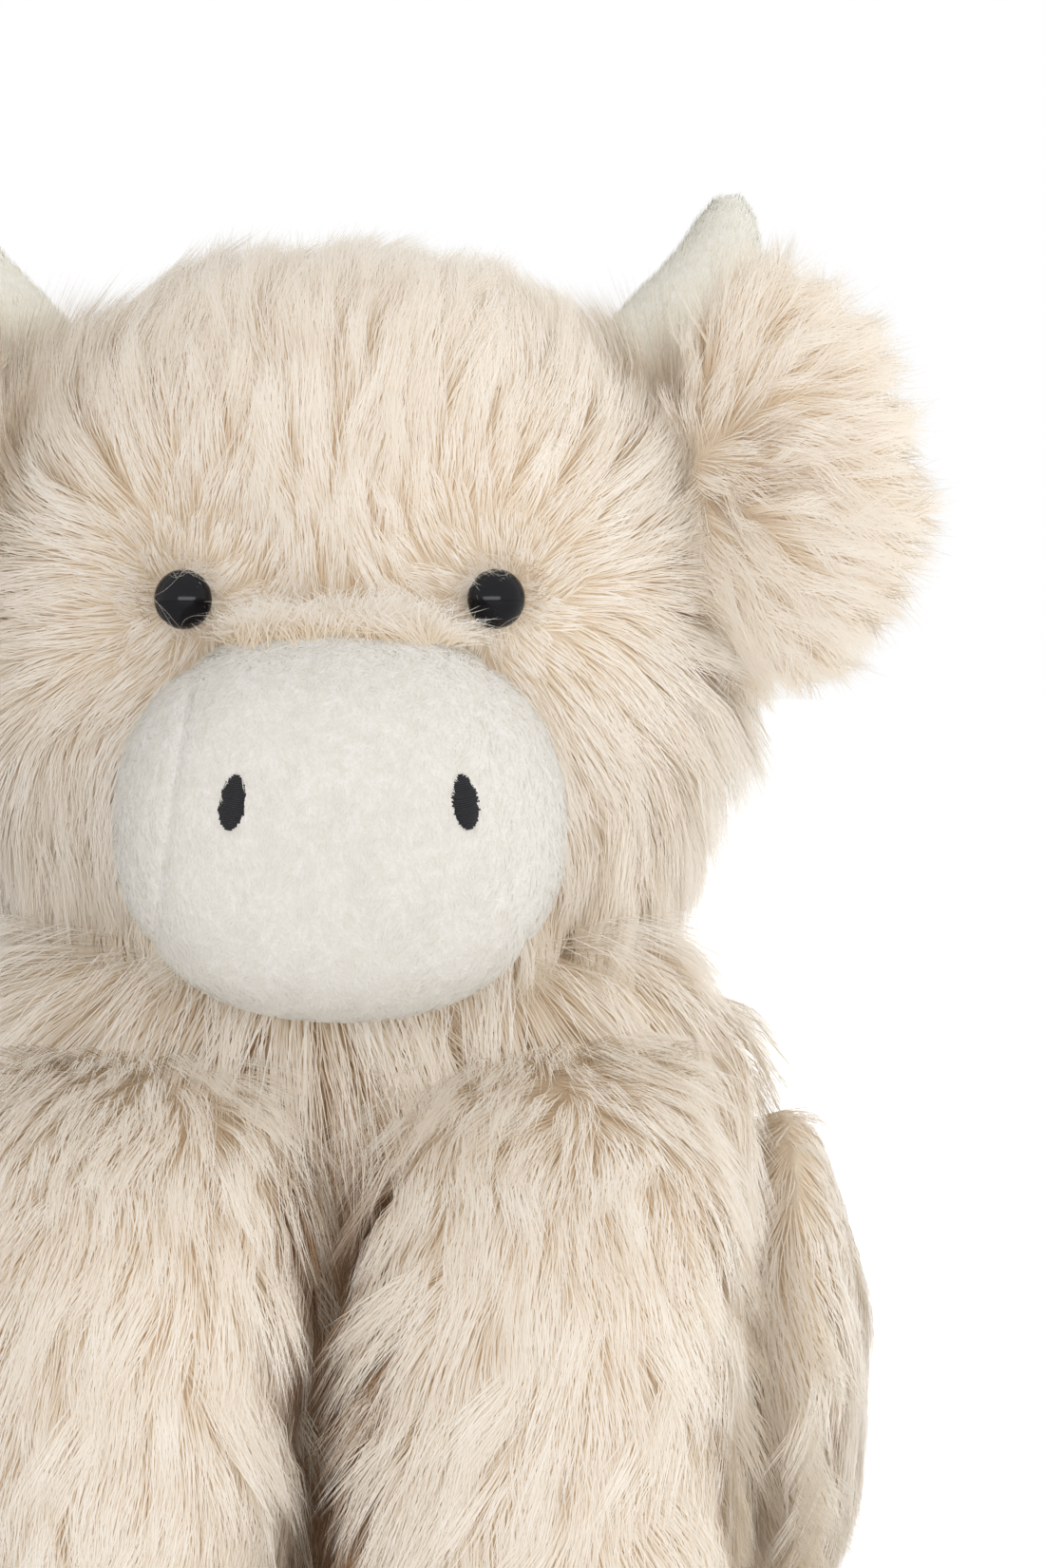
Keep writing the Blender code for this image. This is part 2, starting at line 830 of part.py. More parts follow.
def block_inside(side, offset):
    """All the room between the middle plane and an offset to one side."""
    reach = body_half_depth + hind_foot_reach
    near_edge, far_edge = sorted((0, side * offset))
    return block((near_edge, -reach, -cut_overrun), (far_edge, reach, body_height + cut_overrun))


def hip_neck(side, shift):
    """The round neck through which the leg's filling meets the hip seam."""
    start = (side * (hip_seam_offset - cut_overrun), hip_back, hip_height)
    end = (side * (hip_seam_offset + thigh_thickness / 2), hip_back, hip_height)
    return rod(start, end, hip_seam_radius + shift, eye_sides)


# Tail


def make_tail(fur):
    path = []
    radii = []
    for reach, drop, spread in tail_shares:
        height = tail_root_height - (tail_root_height - tuft_top) * drop
        path.append((0, tail_root_back + tail_reach * reach, height))
        radii.append(tail_radius * spread)
    tail = new_piece("tail", tube(path, radii, tail_sides), fur)
    cut(tail, grow(body_form(), seam_gap))
    back = tail_root_back + tail_reach
    reach = 2 * tuft_radius
    cut(tail, block((-reach, back - reach, 0), (reach, back + reach, tuft_top)))
    rings = []
    for down, spread in tuft_shares:
        middle = Vector((0, back, tuft_top - seam_gap - tuft_length * down))
        radius = tuft_radius * spread
        rings.append(oval(middle, Vector((radius, 0, 0)), Vector((0, radius, 0)), tail_sides))
    tuft = new_piece("tail_tuft", loft(rings), fur)
    return [tail, tuft]


def main():
    clear_scene()
    fur = material("long_fur", fur_colour, fur_roughness)
    fibre = material("fibre_filling", filling_colour, filling_roughness)
    cotton = material("bag_cotton", bag_colour, filling_roughness)
    short_pile = material("short_pile", muzzle_colour, short_pile_roughness)
    velour = material("horn_velour", horn_colour, short_pile_roughness)
    thread = material("black_thread", thread_colour, thread_roughness)
    plastic = material("eye_plastic", eye_colour, eye_roughness)
    washer_plastic = material("washer_plastic", washer_colour, washer_roughness)

    make_torso(fur, fibre, cotton)
    head = make_head(fur, fibre) + make_muzzle(short_pile)
    for side, word in ((-1, "left"), (1, "right")):
        head.append(make_nostril(side, word, thread))
        head += make_eye(side, word, plastic, washer_plastic)
        head += make_horn(side, word, velour, fibre)
        ear = make_ear(side, word, fur)
        hinge_point("ear_hinge_" + word, (side * ear_root_offset, ear_forward, ear_root_height), [ear])
        front_leg = make_front_leg(side, word, fur, fibre)
        shoulder = (side * (front_leg_clearance + front_leg_half_width), -shoulder_forward, front_leg_height)
        hinge_point("shoulder_" + word, shoulder, front_leg)
        hind_leg = make_hind_leg(side, word, fur, fibre)
        hinge_point("hip_" + word, (side * hip_seam_offset, hip_back, hip_height), hind_leg)
    hinge_point("neck_turn", (0, 0, neck_height), head)
    hinge_point("tail_hinge", (0, tail_hinge_back, tail_root_height + tail_radius), make_tail(fur))


main()
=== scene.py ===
"""Seated plush cow: the sewn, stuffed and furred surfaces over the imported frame, in metres."""

import json
import math

import bmesh
import bpy
import numpy as np
from mathutils import Matrix, Vector
from mathutils.bvhtree import BVHTree

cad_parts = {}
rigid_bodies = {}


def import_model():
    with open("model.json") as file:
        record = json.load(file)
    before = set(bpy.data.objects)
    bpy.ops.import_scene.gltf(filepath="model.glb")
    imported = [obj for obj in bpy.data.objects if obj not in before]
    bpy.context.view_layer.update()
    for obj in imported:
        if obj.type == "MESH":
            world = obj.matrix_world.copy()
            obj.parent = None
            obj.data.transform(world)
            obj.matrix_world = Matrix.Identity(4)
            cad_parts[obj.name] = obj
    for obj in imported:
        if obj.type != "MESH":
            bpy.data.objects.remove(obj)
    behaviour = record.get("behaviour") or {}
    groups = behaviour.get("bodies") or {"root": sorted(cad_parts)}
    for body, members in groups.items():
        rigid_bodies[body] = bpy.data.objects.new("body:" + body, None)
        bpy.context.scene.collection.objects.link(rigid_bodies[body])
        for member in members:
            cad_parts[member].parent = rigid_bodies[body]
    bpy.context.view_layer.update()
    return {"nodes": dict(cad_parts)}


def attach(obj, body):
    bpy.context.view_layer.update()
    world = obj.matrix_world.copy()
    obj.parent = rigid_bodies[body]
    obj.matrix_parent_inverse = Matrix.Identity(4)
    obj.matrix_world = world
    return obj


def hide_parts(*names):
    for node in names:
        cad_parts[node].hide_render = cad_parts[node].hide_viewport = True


for leftover in list(bpy.data.objects):
    bpy.data.objects.remove(leftover)
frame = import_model()
nodes = frame["nodes"]


# Torso.
# A pear-shaped sack of long-pile knit, sewn from panels and stuffed with fibre over a bag of pellets.
# The pile lies downwards in loose locks; backing and pile together fill the room of the CAD skin.

arrow = "FLOAT_VECTOR"
hip_offset = 0.088
hip_y = 0.006
hip_z = 0.088


def mesh_of(form):
    """The finished bmesh as a mesh."""
    mesh = bpy.data.meshes.new("form")
    form.to_mesh(mesh)
    form.free()
    return mesh


def placed(name, data):
    made = bpy.data.objects.new(name, data)
    bpy.context.collection.objects.link(made)
    return made


def piece(name, mesh, finish):
    mesh.materials.clear()
    mesh.materials.append(finish)
    return placed(name, mesh)


def settle(pieces, body, slot, *stands_for):
    """Fix pieces to a body in place of CAD nodes; the slot argument is not used."""
    for made in pieces:
        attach(made, body)
        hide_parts(*stands_for)


def plain_mesh(carrier):
    """The carrier's evaluated shape as a plain mesh; the carrier is removed."""
    graph = bpy.context.evaluated_depsgraph_get()
    mesh = bpy.data.meshes.new_from_object(carrier.evaluated_get(graph))
    bpy.data.objects.remove(carrier)
    return mesh


def points_of(mesh):
    """Positions and normals of the mesh as arrays."""
    places = np.empty(len(mesh.vertices) * 3)
    normals = np.empty(len(mesh.vertices) * 3)
    mesh.vertices.foreach_get("co", places)
    mesh.vertices.foreach_get("normal", normals)
    return places.reshape(-1, 3), normals.reshape(-1, 3)


def place_points(mesh, spots):
    mesh.vertices.foreach_set("co", spots.ravel())
    mesh.update()


def step_up(value, low, high):
    """0 below low, 1 above high, smooth between."""
    share = np.clip((value - low) / (high - low), 0, 1)
    return share * share * (3 - 2 * share)


def step_down(value, low, high):
    return 1 - step_up(value, low, high)


def hump(value, middle, width):
    """1 at the middle, fading smoothly to both sides."""
    return np.exp(-(((value - middle) / width) ** 2))


def ripple(spots, size, seed):
    """Smooth noise from -1 to 1 over points, with bumps of about that size."""
    chance = np.random.default_rng(seed)
    total = np.zeros(len(spots))
    for _ in range(7):
        way = chance.normal(size=3)
        way *= chance.uniform(0.6, 1.5) * math.pi / (size * np.linalg.norm(way))
        total += np.sin(spots @ way + chance.uniform(0, math.tau))
    return np.clip(total / 3.2, -1, 1)


def evened(values, links, rounds, where=slice(None), share=0.5):
    """Values at points, drawn towards the mean of the linked points."""
    count = np.bincount(links.ravel(), minlength=len(values))
    for _ in range(rounds):
        near = [
            np.bincount(links[:, 0], column[links[:, 1]], len(values))
            + np.bincount(links[:, 1], column[links[:, 0]], len(values))
            for column in values.T
        ]
        near = np.stack(near, 1) / count[:, None]
        values[where] += share * (near - values)[where]
    return values


def ball_over(names, middle):
    """The outside of CAD solids as seen from a point inside, closed smoothly over their openings."""
    start, reach_in = 0.5, 0.499
    joined = bmesh.new()
    for name in names:
        joined.from_mesh(nodes[name].data)
    solid = BVHTree.FromBMesh(joined)
    joined.free()
    ball = bmesh.new()
    bmesh.ops.create_icosphere(ball, subdivisions=6, radius=1)
    middle = Vector(middle)
    ways = [vertex.co.normalized() for vertex in ball.verts]
    reach = np.zeros(len(ways))
    for index, way in enumerate(ways):
        hit = solid.ray_cast(middle + way * start, -way, reach_in)[0]
        reach[index] = (hit - middle).length if hit else 0
    open_here = reach == 0
    if open_here.any():
        ball.verts.index_update()
        links = np.array([[vertex.index for vertex in edge.verts] for edge in ball.edges])
        reach[open_here] = reach[~open_here].mean()
        reach = evened(reach[:, None], links, 300, open_here, 1)[:, 0]
    for vertex, way, far in zip(ball.verts, ways, reach):
        vertex.co = middle + way * far
    return ball


def sewn_form(balls, voxel, inset, seams=(), rounds=6):
    """A soft closed form over CAD solids, drawn in by the depth of the pile but not at its seams.

    A seam is the number of the axis that it is square to, and its place on that axis.
    """
    joined = bmesh.new()
    for names, middle in balls:
        joined.from_mesh(mesh_of(ball_over(names, middle)))
    form = placed("form", mesh_of(joined))
    remesh = form.modifiers.new("remesh", "REMESH")
    remesh.mode = "VOXEL"
    remesh.voxel_size = voxel
    mesh = plain_mesh(form)
    links = np.empty(len(mesh.edges) * 2, int)
    mesh.edges.foreach_get("vertices", links)
    links = links.reshape(-1, 2)
    place_points(mesh, evened(points_of(mesh)[0], links, rounds))
    spots, leans = points_of(mesh)
    depth = np.full(len(spots), float(inset))
    for axis, place in seams:
        depth *= 0.1 + 0.9 * step_up(abs(spots[:, axis] - place), 0.001, 0.007)
    place_points(mesh, evened(spots - leans * depth[:, None], links, 3))
    return mesh


def comb(mesh, ways, pile=1.0, cover=1.0, tone=0.0, stand=0.0, wander=0.3, seed=1):
    """Write how the pile lies, its length, density, shade and how far it stands up on the skin."""
    spots, normals = points_of(mesh)
    ways = ways - normals * (ways * normals).sum(1, keepdims=True)
    ways /= np.maximum(np.linalg.norm(ways, axis=1, keepdims=True), 1e-6)
    turn = wander * (0.6 * ripple(spots, 0.016, seed) + 0.4 * ripple(spots, 0.007, seed + 1))[:, None]
    ways = ways * np.cos(turn) + np.cross(normals, ways) * np.sin(turn)
    pile = pile * (1 + 0.10 * ripple(spots, 0.009, seed + 2))
    stand = stand + 0.10 * ripple(spots, 0.011, seed + 3)
    for label, kind, values in (
        ("way", arrow, ways),
        ("skin_normal", arrow, normals),
        ("pile", "FLOAT", pile),
        ("cover", "FLOAT", cover + 0 * pile),
        ("tone", "FLOAT", tone + 0 * pile),
        ("stand", "FLOAT", stand),
    ):
        layer = mesh.attributes.get(label) or mesh.attributes.new(label, kind, "POINT")
        layer.data.foreach_set("vector" if kind == arrow else "value", np.ravel(values))


def socket(sockets, name):
    return next(item for item in sockets if item.name == name and item.enabled)


def put(tree, kind, feeds=None, **settings):
    """A node whose inputs, by name or place, take a value or another node's output."""
    made = tree.nodes.new(kind)
    for name, value in settings.items():
        setattr(made, name, value)
    for name, value in (feeds or {}).items():
        target = made.inputs[name] if isinstance(name, int) else socket(made.inputs, name)
        if isinstance(value, bpy.types.NodeSocket):
            tree.links.new(value, target)
        else:
            target.default_value = value
    return made


def new_tree(name, kind, inputs, outputs):
    """A node group with named sockets, and its two end nodes."""
    tree = bpy.data.node_groups.new(name, kind)
    for label, sort, value in inputs:
        made = tree.interface.new_socket(label, in_out="INPUT", socket_type="NodeSocket" + sort)
        if value is not None:
            made.default_value = value
    for label, sort in outputs:
        tree.interface.new_socket(label, in_out="OUTPUT", socket_type="NodeSocket" + sort)
    return tree, tree.nodes.new("NodeGroupInput").outputs, tree.nodes.new("NodeGroupOutput").inputs


def tree_words(tree):
    """Short words for a tree's sums, for its vectors, and for what it stores on its points."""

    def num(operation, *terms):
        return put(tree, "ShaderNodeMath", dict(enumerate(terms)), operation=operation).outputs[0]

    def product(first, *others):
        for term in others:
            first = num("MULTIPLY", first, term)
        return first

    def total(first, *others):
        for term in others:
            first = num("ADD", first, term)
        return first

    def vec(operation, *terms):
        return put(tree, "ShaderNodeVectorMath", dict(enumerate(terms)), operation=operation).outputs[0]

    def scaled(vector, share):
        return put(tree, "ShaderNodeVectorMath", {0: vector, 3: share}, operation="SCALE").outputs[0]

    def split(vector):
        return put(tree, "ShaderNodeSeparateXYZ", {0: vector}).outputs

    def join(x=0.0, y=0.0, z=0.0):
        return put(tree, "ShaderNodeCombineXYZ", {0: x, 1: y, 2: z}).outputs[0]

    def layer(name, kind="FLOAT"):
        return put(tree, "GeometryNodeInputNamedAttribute", {"Name": name}, data_type=kind).outputs[0]

    def store(geometry, name, value, kind="FLOAT", domain="POINT"):
        feeds = {"Geometry": geometry, "Name": name, "Value": value}
        return put(tree, "GeometryNodeStoreNamedAttribute", feeds, data_type=kind, domain=domain).outputs[0]

    return num, product, total, vec, scaled, split, join, layer, store


def build_pile_tree():
    """Pile of flat hairs that lean out of the skin and draw together in locks."""
    tree, given, made = new_tree(
        "pile",
        "GeometryNodeTree",
        (
            ("Skin", "Geometry", None),
            ("Hairs per m2", "Float", 1e6),
            ("Locks per m2", "Float", 1e5),
            ("Pile length", "Float", 0.02),
            ("Length spread", "Float", 0.25),
            ("Hair width", "Float", 0.0004),
            ("Lift", "Float", 0.55),
            ("Bend", "Float", 0.41),
            ("Droop", "Float", 0.0),
            ("Lock hold", "Float", 0.5),
            ("Lock turn", "Float", 0.28),
            ("Hair turn", "Float", 0.12),
            ("Wave", "Float", 0.04),
            ("Strays", "Float", 0.22),
            ("Roundness", "Float", 0.16),
            ("Rows", "Int", 3),
            ("Seed", "Int", 1),
            ("Finish", "Material", None),
        ),
        (("Pile", "Geometry"),),
    )
    num, product, total, vec, scaled, split, join, layer, store = tree_words(tree)

    def way(name):
        return layer(name, arrow)

    def chance(low, high, salt):
        feeds = {"Min": low, "Max": high, "Seed": total(given["Seed"], float(salt))}
        return socket(put(tree, "FunctionNodeRandomValue", feeds, data_type="FLOAT").outputs, "Value")

    def turned(vector, angle):
        feeds = {"Vector": vector, "Axis": way("skin_normal"), "Angle": angle}
        return put(tree, "ShaderNodeVectorRotate", feeds, rotation_type="AXIS_ANGLE").outputs[0]

    def scatter(density, salt):
        feeds = {"Mesh": given["Skin"], "Density": product(density, layer("cover"))}
        feeds["Seed"] = total(given["Seed"], float(salt))
        points = put(tree, "GeometryNodeDistributePointsOnFaces", feeds, distribute_method="RANDOM")
        return points.outputs["Points"]

    place = put(tree, "GeometryNodeInputPosition").outputs[0]
    full = product(layer("pile"), given["Pile length"])
    spread = given["Length spread"]

    locks = scatter(given["Locks per m2"], 11)
    swing = product(chance(-1.0, 1.0, 12), given["Lock turn"])
    locks = store(locks, "lock_way", turned(way("way"), swing), arrow)
    varied = total(product(chance(-1.0, 0.5, 13), spread), 1.0)
    locks = store(locks, "lock_length", product(full, varied))
    locks = store(locks, "lock_shade", chance(-1.0, 1.0, 14))
    locks = store(locks, "lock_place", place, arrow)
    locks = store(locks, "lock_normal", way("skin_normal"), arrow)

    hairs = scatter(given["Hairs per m2"], 21)
    nearest = put(tree, "GeometryNodeSampleNearest", {"Geometry": locks}, domain="POINT").outputs[0]
    for name, kind in (
        ("lock_way", arrow),
        ("lock_length", "FLOAT"),
        ("lock_shade", "FLOAT"),
        ("lock_place", arrow),
        ("lock_normal", arrow),
    ):
        feeds = {"Geometry": locks, "Value": layer(name, kind), "Index": nearest}
        taken = put(tree, "GeometryNodeSampleIndex", feeds, data_type=kind, domain="POINT").outputs[0]
        hairs = store(hairs, name, taken, kind)
    jitter = product(chance(-1.0, 1.0, 22), given["Hair turn"])
    blended = vec("ADD", scaled(way("lock_way"), 0.7), scaled(way("way"), 0.3))
    hairs = store(hairs, "hair_way", vec("NORMALIZE", turned(blended, jitter)), arrow)
    varied = total(product(chance(-1.0, 0.6, 23), product(spread, 0.6)), 1.0)
    hairs = store(hairs, "hair_length", product(full, varied))
    hairs = store(hairs, "hair_place", place, arrow)
    stray = num("LESS_THAN", chance(0.0, 1.0, 24), given["Strays"])
    held = product(given["Lock hold"], chance(0.75, 1.0, 25), num("SUBTRACT", 1.0, stray))
    hairs = store(hairs, "held", held)
    hairs = store(hairs, "twist", chance(-0.35, 0.35, 26))
    hairs = store(hairs, "phase", chance(0.0, 6.28, 27))
    hairs = store(hairs, "breadth", product(chance(0.65, 1.25, 29), given["Hair width"]))
    own_shade = product(chance(-1.0, 1.0, 28), 0.10)
    shade = total(product(layer("lock_shade"), 0.20), own_shade, 0.5, layer("tone"))
    hairs = store(hairs, "shade", num("MINIMUM", num("MAXIMUM", shade, 0.02), 0.98))

    feeds = {"Size X": 1.0, "Size Y": 1.0, "Vertices X": 2, "Vertices Y": given["Rows"]}
    blade = put(tree, "GeometryNodeMeshGrid", feeds).outputs["Mesh"]
    at_tip = num("GREATER_THAN", split(place)[1], 0.49)
    feeds = {"Geometry": blade, "Selection": at_tip, "Position": (0.0, 0.5, 0.0)}
    blade = put(tree, "GeometryNodeSetPosition", feeds).outputs[0]
    blade = put(tree, "GeometryNodeMergeByDistance", {"Geometry": blade, "Distance": 0.001}).outputs[0]
    blade = store(blade, "blade", place, arrow)
    grown = put(tree, "GeometryNodeInstanceOnPoints", {"Points": hairs, "Instance": blade}).outputs[0]
    grown = put(tree, "GeometryNodeRealizeInstances", {"Geometry": grown}).outputs[0]

    local = split(way("blade"))
    side = product(local[0], 2.0)
    along = total(local[1], 0.5)
    lift = product(given["Lift"], total(layer("stand"), 1.0))
    rise = num("SUBTRACT", product(lift, along), product(given["Bend"], num("POWER", along, 2.0)))

    def line(place_name, way_name, normal_name, length_name):
        out = vec("ADD", scaled(way(way_name), along), scaled(way(normal_name), rise))
        return vec("ADD", way(place_name), scaled(out, layer(length_name)))

    own = line("hair_place", "hair_way", "skin_normal", "hair_length")
    shared = line("lock_place", "lock_way", "lock_normal", "lock_length")
    hold = product(layer("held"), num("POWER", along, 1.2))
    spot = vec("ADD", scaled(own, num("SUBTRACT", 1.0, hold)), scaled(shared, hold))
    flat = vec("CROSS_PRODUCT", way("hair_way"), way("skin_normal"))
    curl = num("SINE", total(product(along, 7.0), layer("phase")))
    curl = product(curl, along, product(given["Wave"], layer("hair_length")))
    spot = vec("ADD", spot, scaled(flat, curl))
    fall = product(given["Droop"], layer("hair_length"), num("POWER", along, 2.0))
    spot = vec("ADD", spot, join(z=product(fall, -1.0)))
    twist = layer("twist")
    face = vec("ADD", scaled(flat, num("COSINE", twist)), scaled(way("skin_normal"), num("SINE", twist)))
    slim = num("SUBTRACT", 1.06, num("POWER", along, 2.5))
    half = product(layer("breadth"), 0.5, product(slim, side))
    apart = split(vec("ADD", spot, scaled(face, half)))
    clear_of_floor = total(product(num("ABSOLUTE", twist), 0.002), 0.0004)
    spot = join(apart[0], apart[1], num("MAXIMUM", apart[2], clear_of_floor))
    grown = put(tree, "GeometryNodeSetPosition", {"Geometry": grown, "Position": spot}).outputs[0]

    round_off = vec("ADD", way("skin_normal"), scaled(face, product(side, given["Roundness"])))
    tilt = scaled(way("hair_way"), product(num("SUBTRACT", along, 0.35), 0.3))
    grown = store(grown, "lie", vec("NORMALIZE", vec("ADD", round_off, tilt)), arrow)
    sheet = join(total(layer("shade"), product(side, 0.004)), along)
    grown = store(grown, "OFBake", sheet, "FLOAT2", "CORNER")
    grown = put(tree, "GeometryNodeSetMaterial", {"Geometry": grown, "Material": given["Finish"]}).outputs[0]
    tree.links.new(grown, made["Pile"])
    return tree


pile_tree = build_pile_tree()


def run_tree(name, source, tree, values):
    """A copy of a mesh put through a geometry node tree, as a plain mesh."""
    carrier = placed(name, source.copy())
    work = carrier.modifiers.new("work", "NODES")
    work.node_group = tree
    for item in tree.interface.items_tree:
        if item.item_type == "SOCKET" and item.in_out == "INPUT" and item.name in values:
            work[item.identifier] = values[item.name]
    return plain_mesh(carrier)


def grow_pile(name, skin, finish, hairs, locks, length, width, seed, **lie_of_it):
    """Pile on a combed skin mesh; hairs and locks are per square metre.

    The normals of the hairs lean like the skin's, so that the pile is lit as one soft surface.
    """
    values = {"Hairs per m2": hairs, "Locks per m2": locks, "Pile length": length, "Hair width": width}
    values.update({"Seed": seed, "Finish": finish})
    values.update((word.replace("_", " ").capitalize(), value) for word, value in lie_of_it.items())
    mesh = run_tree(name, skin, pile_tree, values)
    lie = np.empty(len(mesh.vertices) * 3)
    mesh.attributes["lie"].data.foreach_get("vector", lie)
    for label in [layer.name for layer in mesh.attributes]:
        if label in mesh.attributes and label not in ("OFBake", "position") and not label.startswith("."):
            if not mesh.attributes[label].is_required:
                mesh.attributes.remove(mesh.attributes[label])
    mesh.normals_split_custom_set_from_vertices(lie.reshape(-1, 3).tolist())
    return piece(name, mesh, finish)


def srgb(red, green, blue):
    """An sRGB colour from 0 to 255 as linear values."""
    values = []
    for part in (red, green, blue):
        part /= 255
        values.append(part / 12.92 if part <= 0.04045 else ((part + 0.055) / 1.055) ** 2.4)
    return (*values, 1)


def new_material(name, **constants):
    finish = bpy.data.materials.new(name)
    finish.use_nodes = True
    shader = finish.node_tree.nodes["Principled BSDF"]
    for label, value in constants.items():
        shader.inputs[label.replace("_", " ")].default_value = value
    return finish, finish.node_tree, shader


def mix(tree, share, low, high, **settings):
    feeds = {"Factor": share, 6: low, 7: high}
    return put(tree, "ShaderNodeMix", feeds, data_type="RGBA", **settings).outputs[2]


def ramp(tree, value, low, high):
    return put(tree, "ShaderNodeMapRange", {"Value": value, "From Min": low, "From Max": high}).outputs[0]


def build_fibre_colour():
    """Fibre colour: from deep over warm to pale by the lock's random tone plus the skin's tone, which in
    creases and gaps is painted shade; darker at the root as painted shade in the depth of the pile.
    """
    colours = [(label, "Color", None) for label in ("Deep", "Warm", "Pale", "Root", "Tip")]
    inputs = (("Shade", "Float", 0.5), ("Height", "Float", 1.0), *colours)
    tree, given, made = new_tree("fibre_colour", "ShaderNodeTree", inputs, (("Colour", "Color"),))
    warmth = 0.22
    # The deep end is painted shade: the hue reaches it mostly where the skin's tone paints shade in creases,
    # gaps and hollows.
    low = mix(tree, ramp(tree, given["Shade"], 0.0, warmth), given["Deep"], given["Warm"])
    hue = mix(tree, ramp(tree, given["Shade"], warmth, 1.0), low, given["Pale"])
    # Painted shade: the fibre gets darker and warmer from the tip down to the root, standing for the shade
    # deep in the pile.
    grown = mix(tree, ramp(tree, given["Height"], 0.0, 0.60), given["Root"], given["Tip"])
    tree.links.new(mix(tree, 1.0, hue, grown, blend_type="MULTIPLY"), made["Colour"])
    return tree


fibre_colour = build_fibre_colour()


def pile_finish(name, deep, warm, pale, root, tip, through, **constants):
    """Fibre so thin that lamps shine through it with a tint; the colours are sRGB."""
    finish, tree, shader = new_material(name, **constants)
    sheet = put(tree, "ShaderNodeUVMap", uv_map="OFBake").outputs[0]
    apart = put(tree, "ShaderNodeSeparateXYZ", {0: sheet}).outputs
    feeds = {"Shade": apart[0], "Height": apart[1], "Deep": srgb(*deep), "Warm": srgb(*warm)}
    feeds.update({"Pale": srgb(*pale), "Root": srgb(*root), "Tip": srgb(*tip)})
    dye_and_painted_shade = put(tree, "ShaderNodeGroup", feeds, node_tree=fibre_colour).outputs[0]
    tree.links.new(dye_and_painted_shade, shader.inputs["Base Color"])
    rays = put(tree, "ShaderNodeLightPath").outputs
    clear = put(tree, "ShaderNodeBsdfTransparent", {"Color": through}).outputs[0]
    feeds = {0: rays["Is Shadow Ray"], 1: shader.outputs[0], 2: clear}
    seen = put(tree, "ShaderNodeMixShader", feeds).outputs[0]
    tree.links.new(seen, tree.nodes["Material Output"].inputs["Surface"])
    return finish


# Painted shade: the deep colour darkens creases and gaps, and the root colour darkens the depth of the pile.
fur = pile_finish(
    "long_fur",
    deep=(158, 120, 82),
    warm=(244, 236, 225),
    pale=(254, 252, 248),
    root=(243, 230, 211),
    tip=(255, 254, 252),
    through=(0.91, 0.87, 0.80, 1),
    Roughness=0.65,
    Specular_IOR_Level=0.3,
)


def build_knit():
    """A fine knit: its colour wanders a little with wear, and its loops stand up."""
    inputs = (("Worn", "Color", None), ("Fresh", "Color", None), ("Loops per m", "Float", 800.0))
    inputs += (("Relief", "Float", 0.0003),)
    outputs = (("Colour", "Color"), ("Normal", "Vector"))
    tree, given, made = new_tree("knit", "ShaderNodeTree", inputs, outputs)
    place = put(tree, "ShaderNodeTexCoord").outputs["Object"]
    cloud = put(tree, "ShaderNodeTexNoise", {"Vector": place, "Scale": 140.0, "Detail": 3.0}).outputs[0]
    loops = put(tree, "ShaderNodeTexVoronoi", {"Vector": place, "Scale": given["Loops per m"]})
    feeds = {"Height": loops.outputs["Distance"], "Strength": 0.5, "Distance": given["Relief"]}
    tree.links.new(mix(tree, cloud, given["Worn"], given["Fresh"]), made["Colour"])
    tree.links.new(put(tree, "ShaderNodeBump", feeds).outputs[0], made["Normal"])
    return tree


knit = build_knit()


def cloth_finish(name, weave, values, **constants):
    """A cloth whose colour and relief come from a shared weave."""
    finish, tree, shader = new_material(name, **constants)
    cloth = put(tree, "ShaderNodeGroup", values, node_tree=weave).outputs
    tree.links.new(cloth["Colour"], shader.inputs["Base Color"])
    tree.links.new(cloth["Normal"], shader.inputs["Normal"])
    return finish


def knit_finish(name, colour, loop, relief):
    worn = tuple(part * 0.88 for part in colour[:3]) + (1,)
    values = {"Worn": worn, "Fresh": colour, "Loops per m": 1 / loop, "Relief": relief}
    return cloth_finish(name, knit, values, Roughness=0.95, Specular_IOR_Level=0.2)


# Painted shade: the backing is darker than the pile, standing for the shade at the roots wherever it shows.
fur_backing = knit_finish("fur_backing", srgb(226, 210, 188), loop=0.0012, relief=0.0003)
body_mesh = sewn_form(
    [(["body_skin"], (0, -0.008, 0.095))],
    voxel=0.003,
    inset=0.0065,
    seams=((2, 0.187), (0, hip_offset), (0, -hip_offset)),
)
waist_depth = 0.0028
neck_draw = 0.07
spots, leans = points_of(body_mesh)
waist = hump(spots[:, 2], 0.163, 0.014) * step_up(abs(spots[:, 0]), 0.050, 0.080)
spots -= leans * (waist_depth * waist)[:, None]
spots[:, :2] *= (1 - neck_draw * step_up(spots[:, 2], 0.179, 0.186))[:, None]
place_points(body_mesh, spots)
spots, leans = points_of(body_mesh)
x, y, z = spots.T
below = step_up(-leans[:, 2], 0.5, 0.95)
shoulder = step_up(z, 0.140, 0.175)
crown = step_up(leans[:, 2], 0.7, 0.95)
ways = np.stack([x * (5 + 14 * shoulder), y * 14 * shoulder + leans[:, 1] * 0.3, -1 + 0.8 * crown], 1)
at_hip = (np.hypot(y - hip_y, z - hip_z) < 0.040) & (abs(x) > 0.07)
chest = (y < -0.045) & (abs(x) < 0.080) & (z < 0.140)
under_head = step_up(z, 0.180, 0.186) * (np.hypot(x / 0.060, (y + 0.02) / 0.045) < 1)
cover = np.where(at_hip, 0, 1) * np.where(chest, 0.7, 1) * (1 - under_head)
# Painted shade: the pile between the front legs gets a much darker tone where shade falls in the gap.
painted_shade_between_legs = step_up(-y, 0.03, 0.05) * step_down(z, 0.165, 0.185) * step_down(abs(x), 0.02, 0.07)
over_legs = step_up(z, 0.150, 0.165) * step_up(-y, 0.02, 0.05) * step_down(abs(x), 0.052, 0.072)
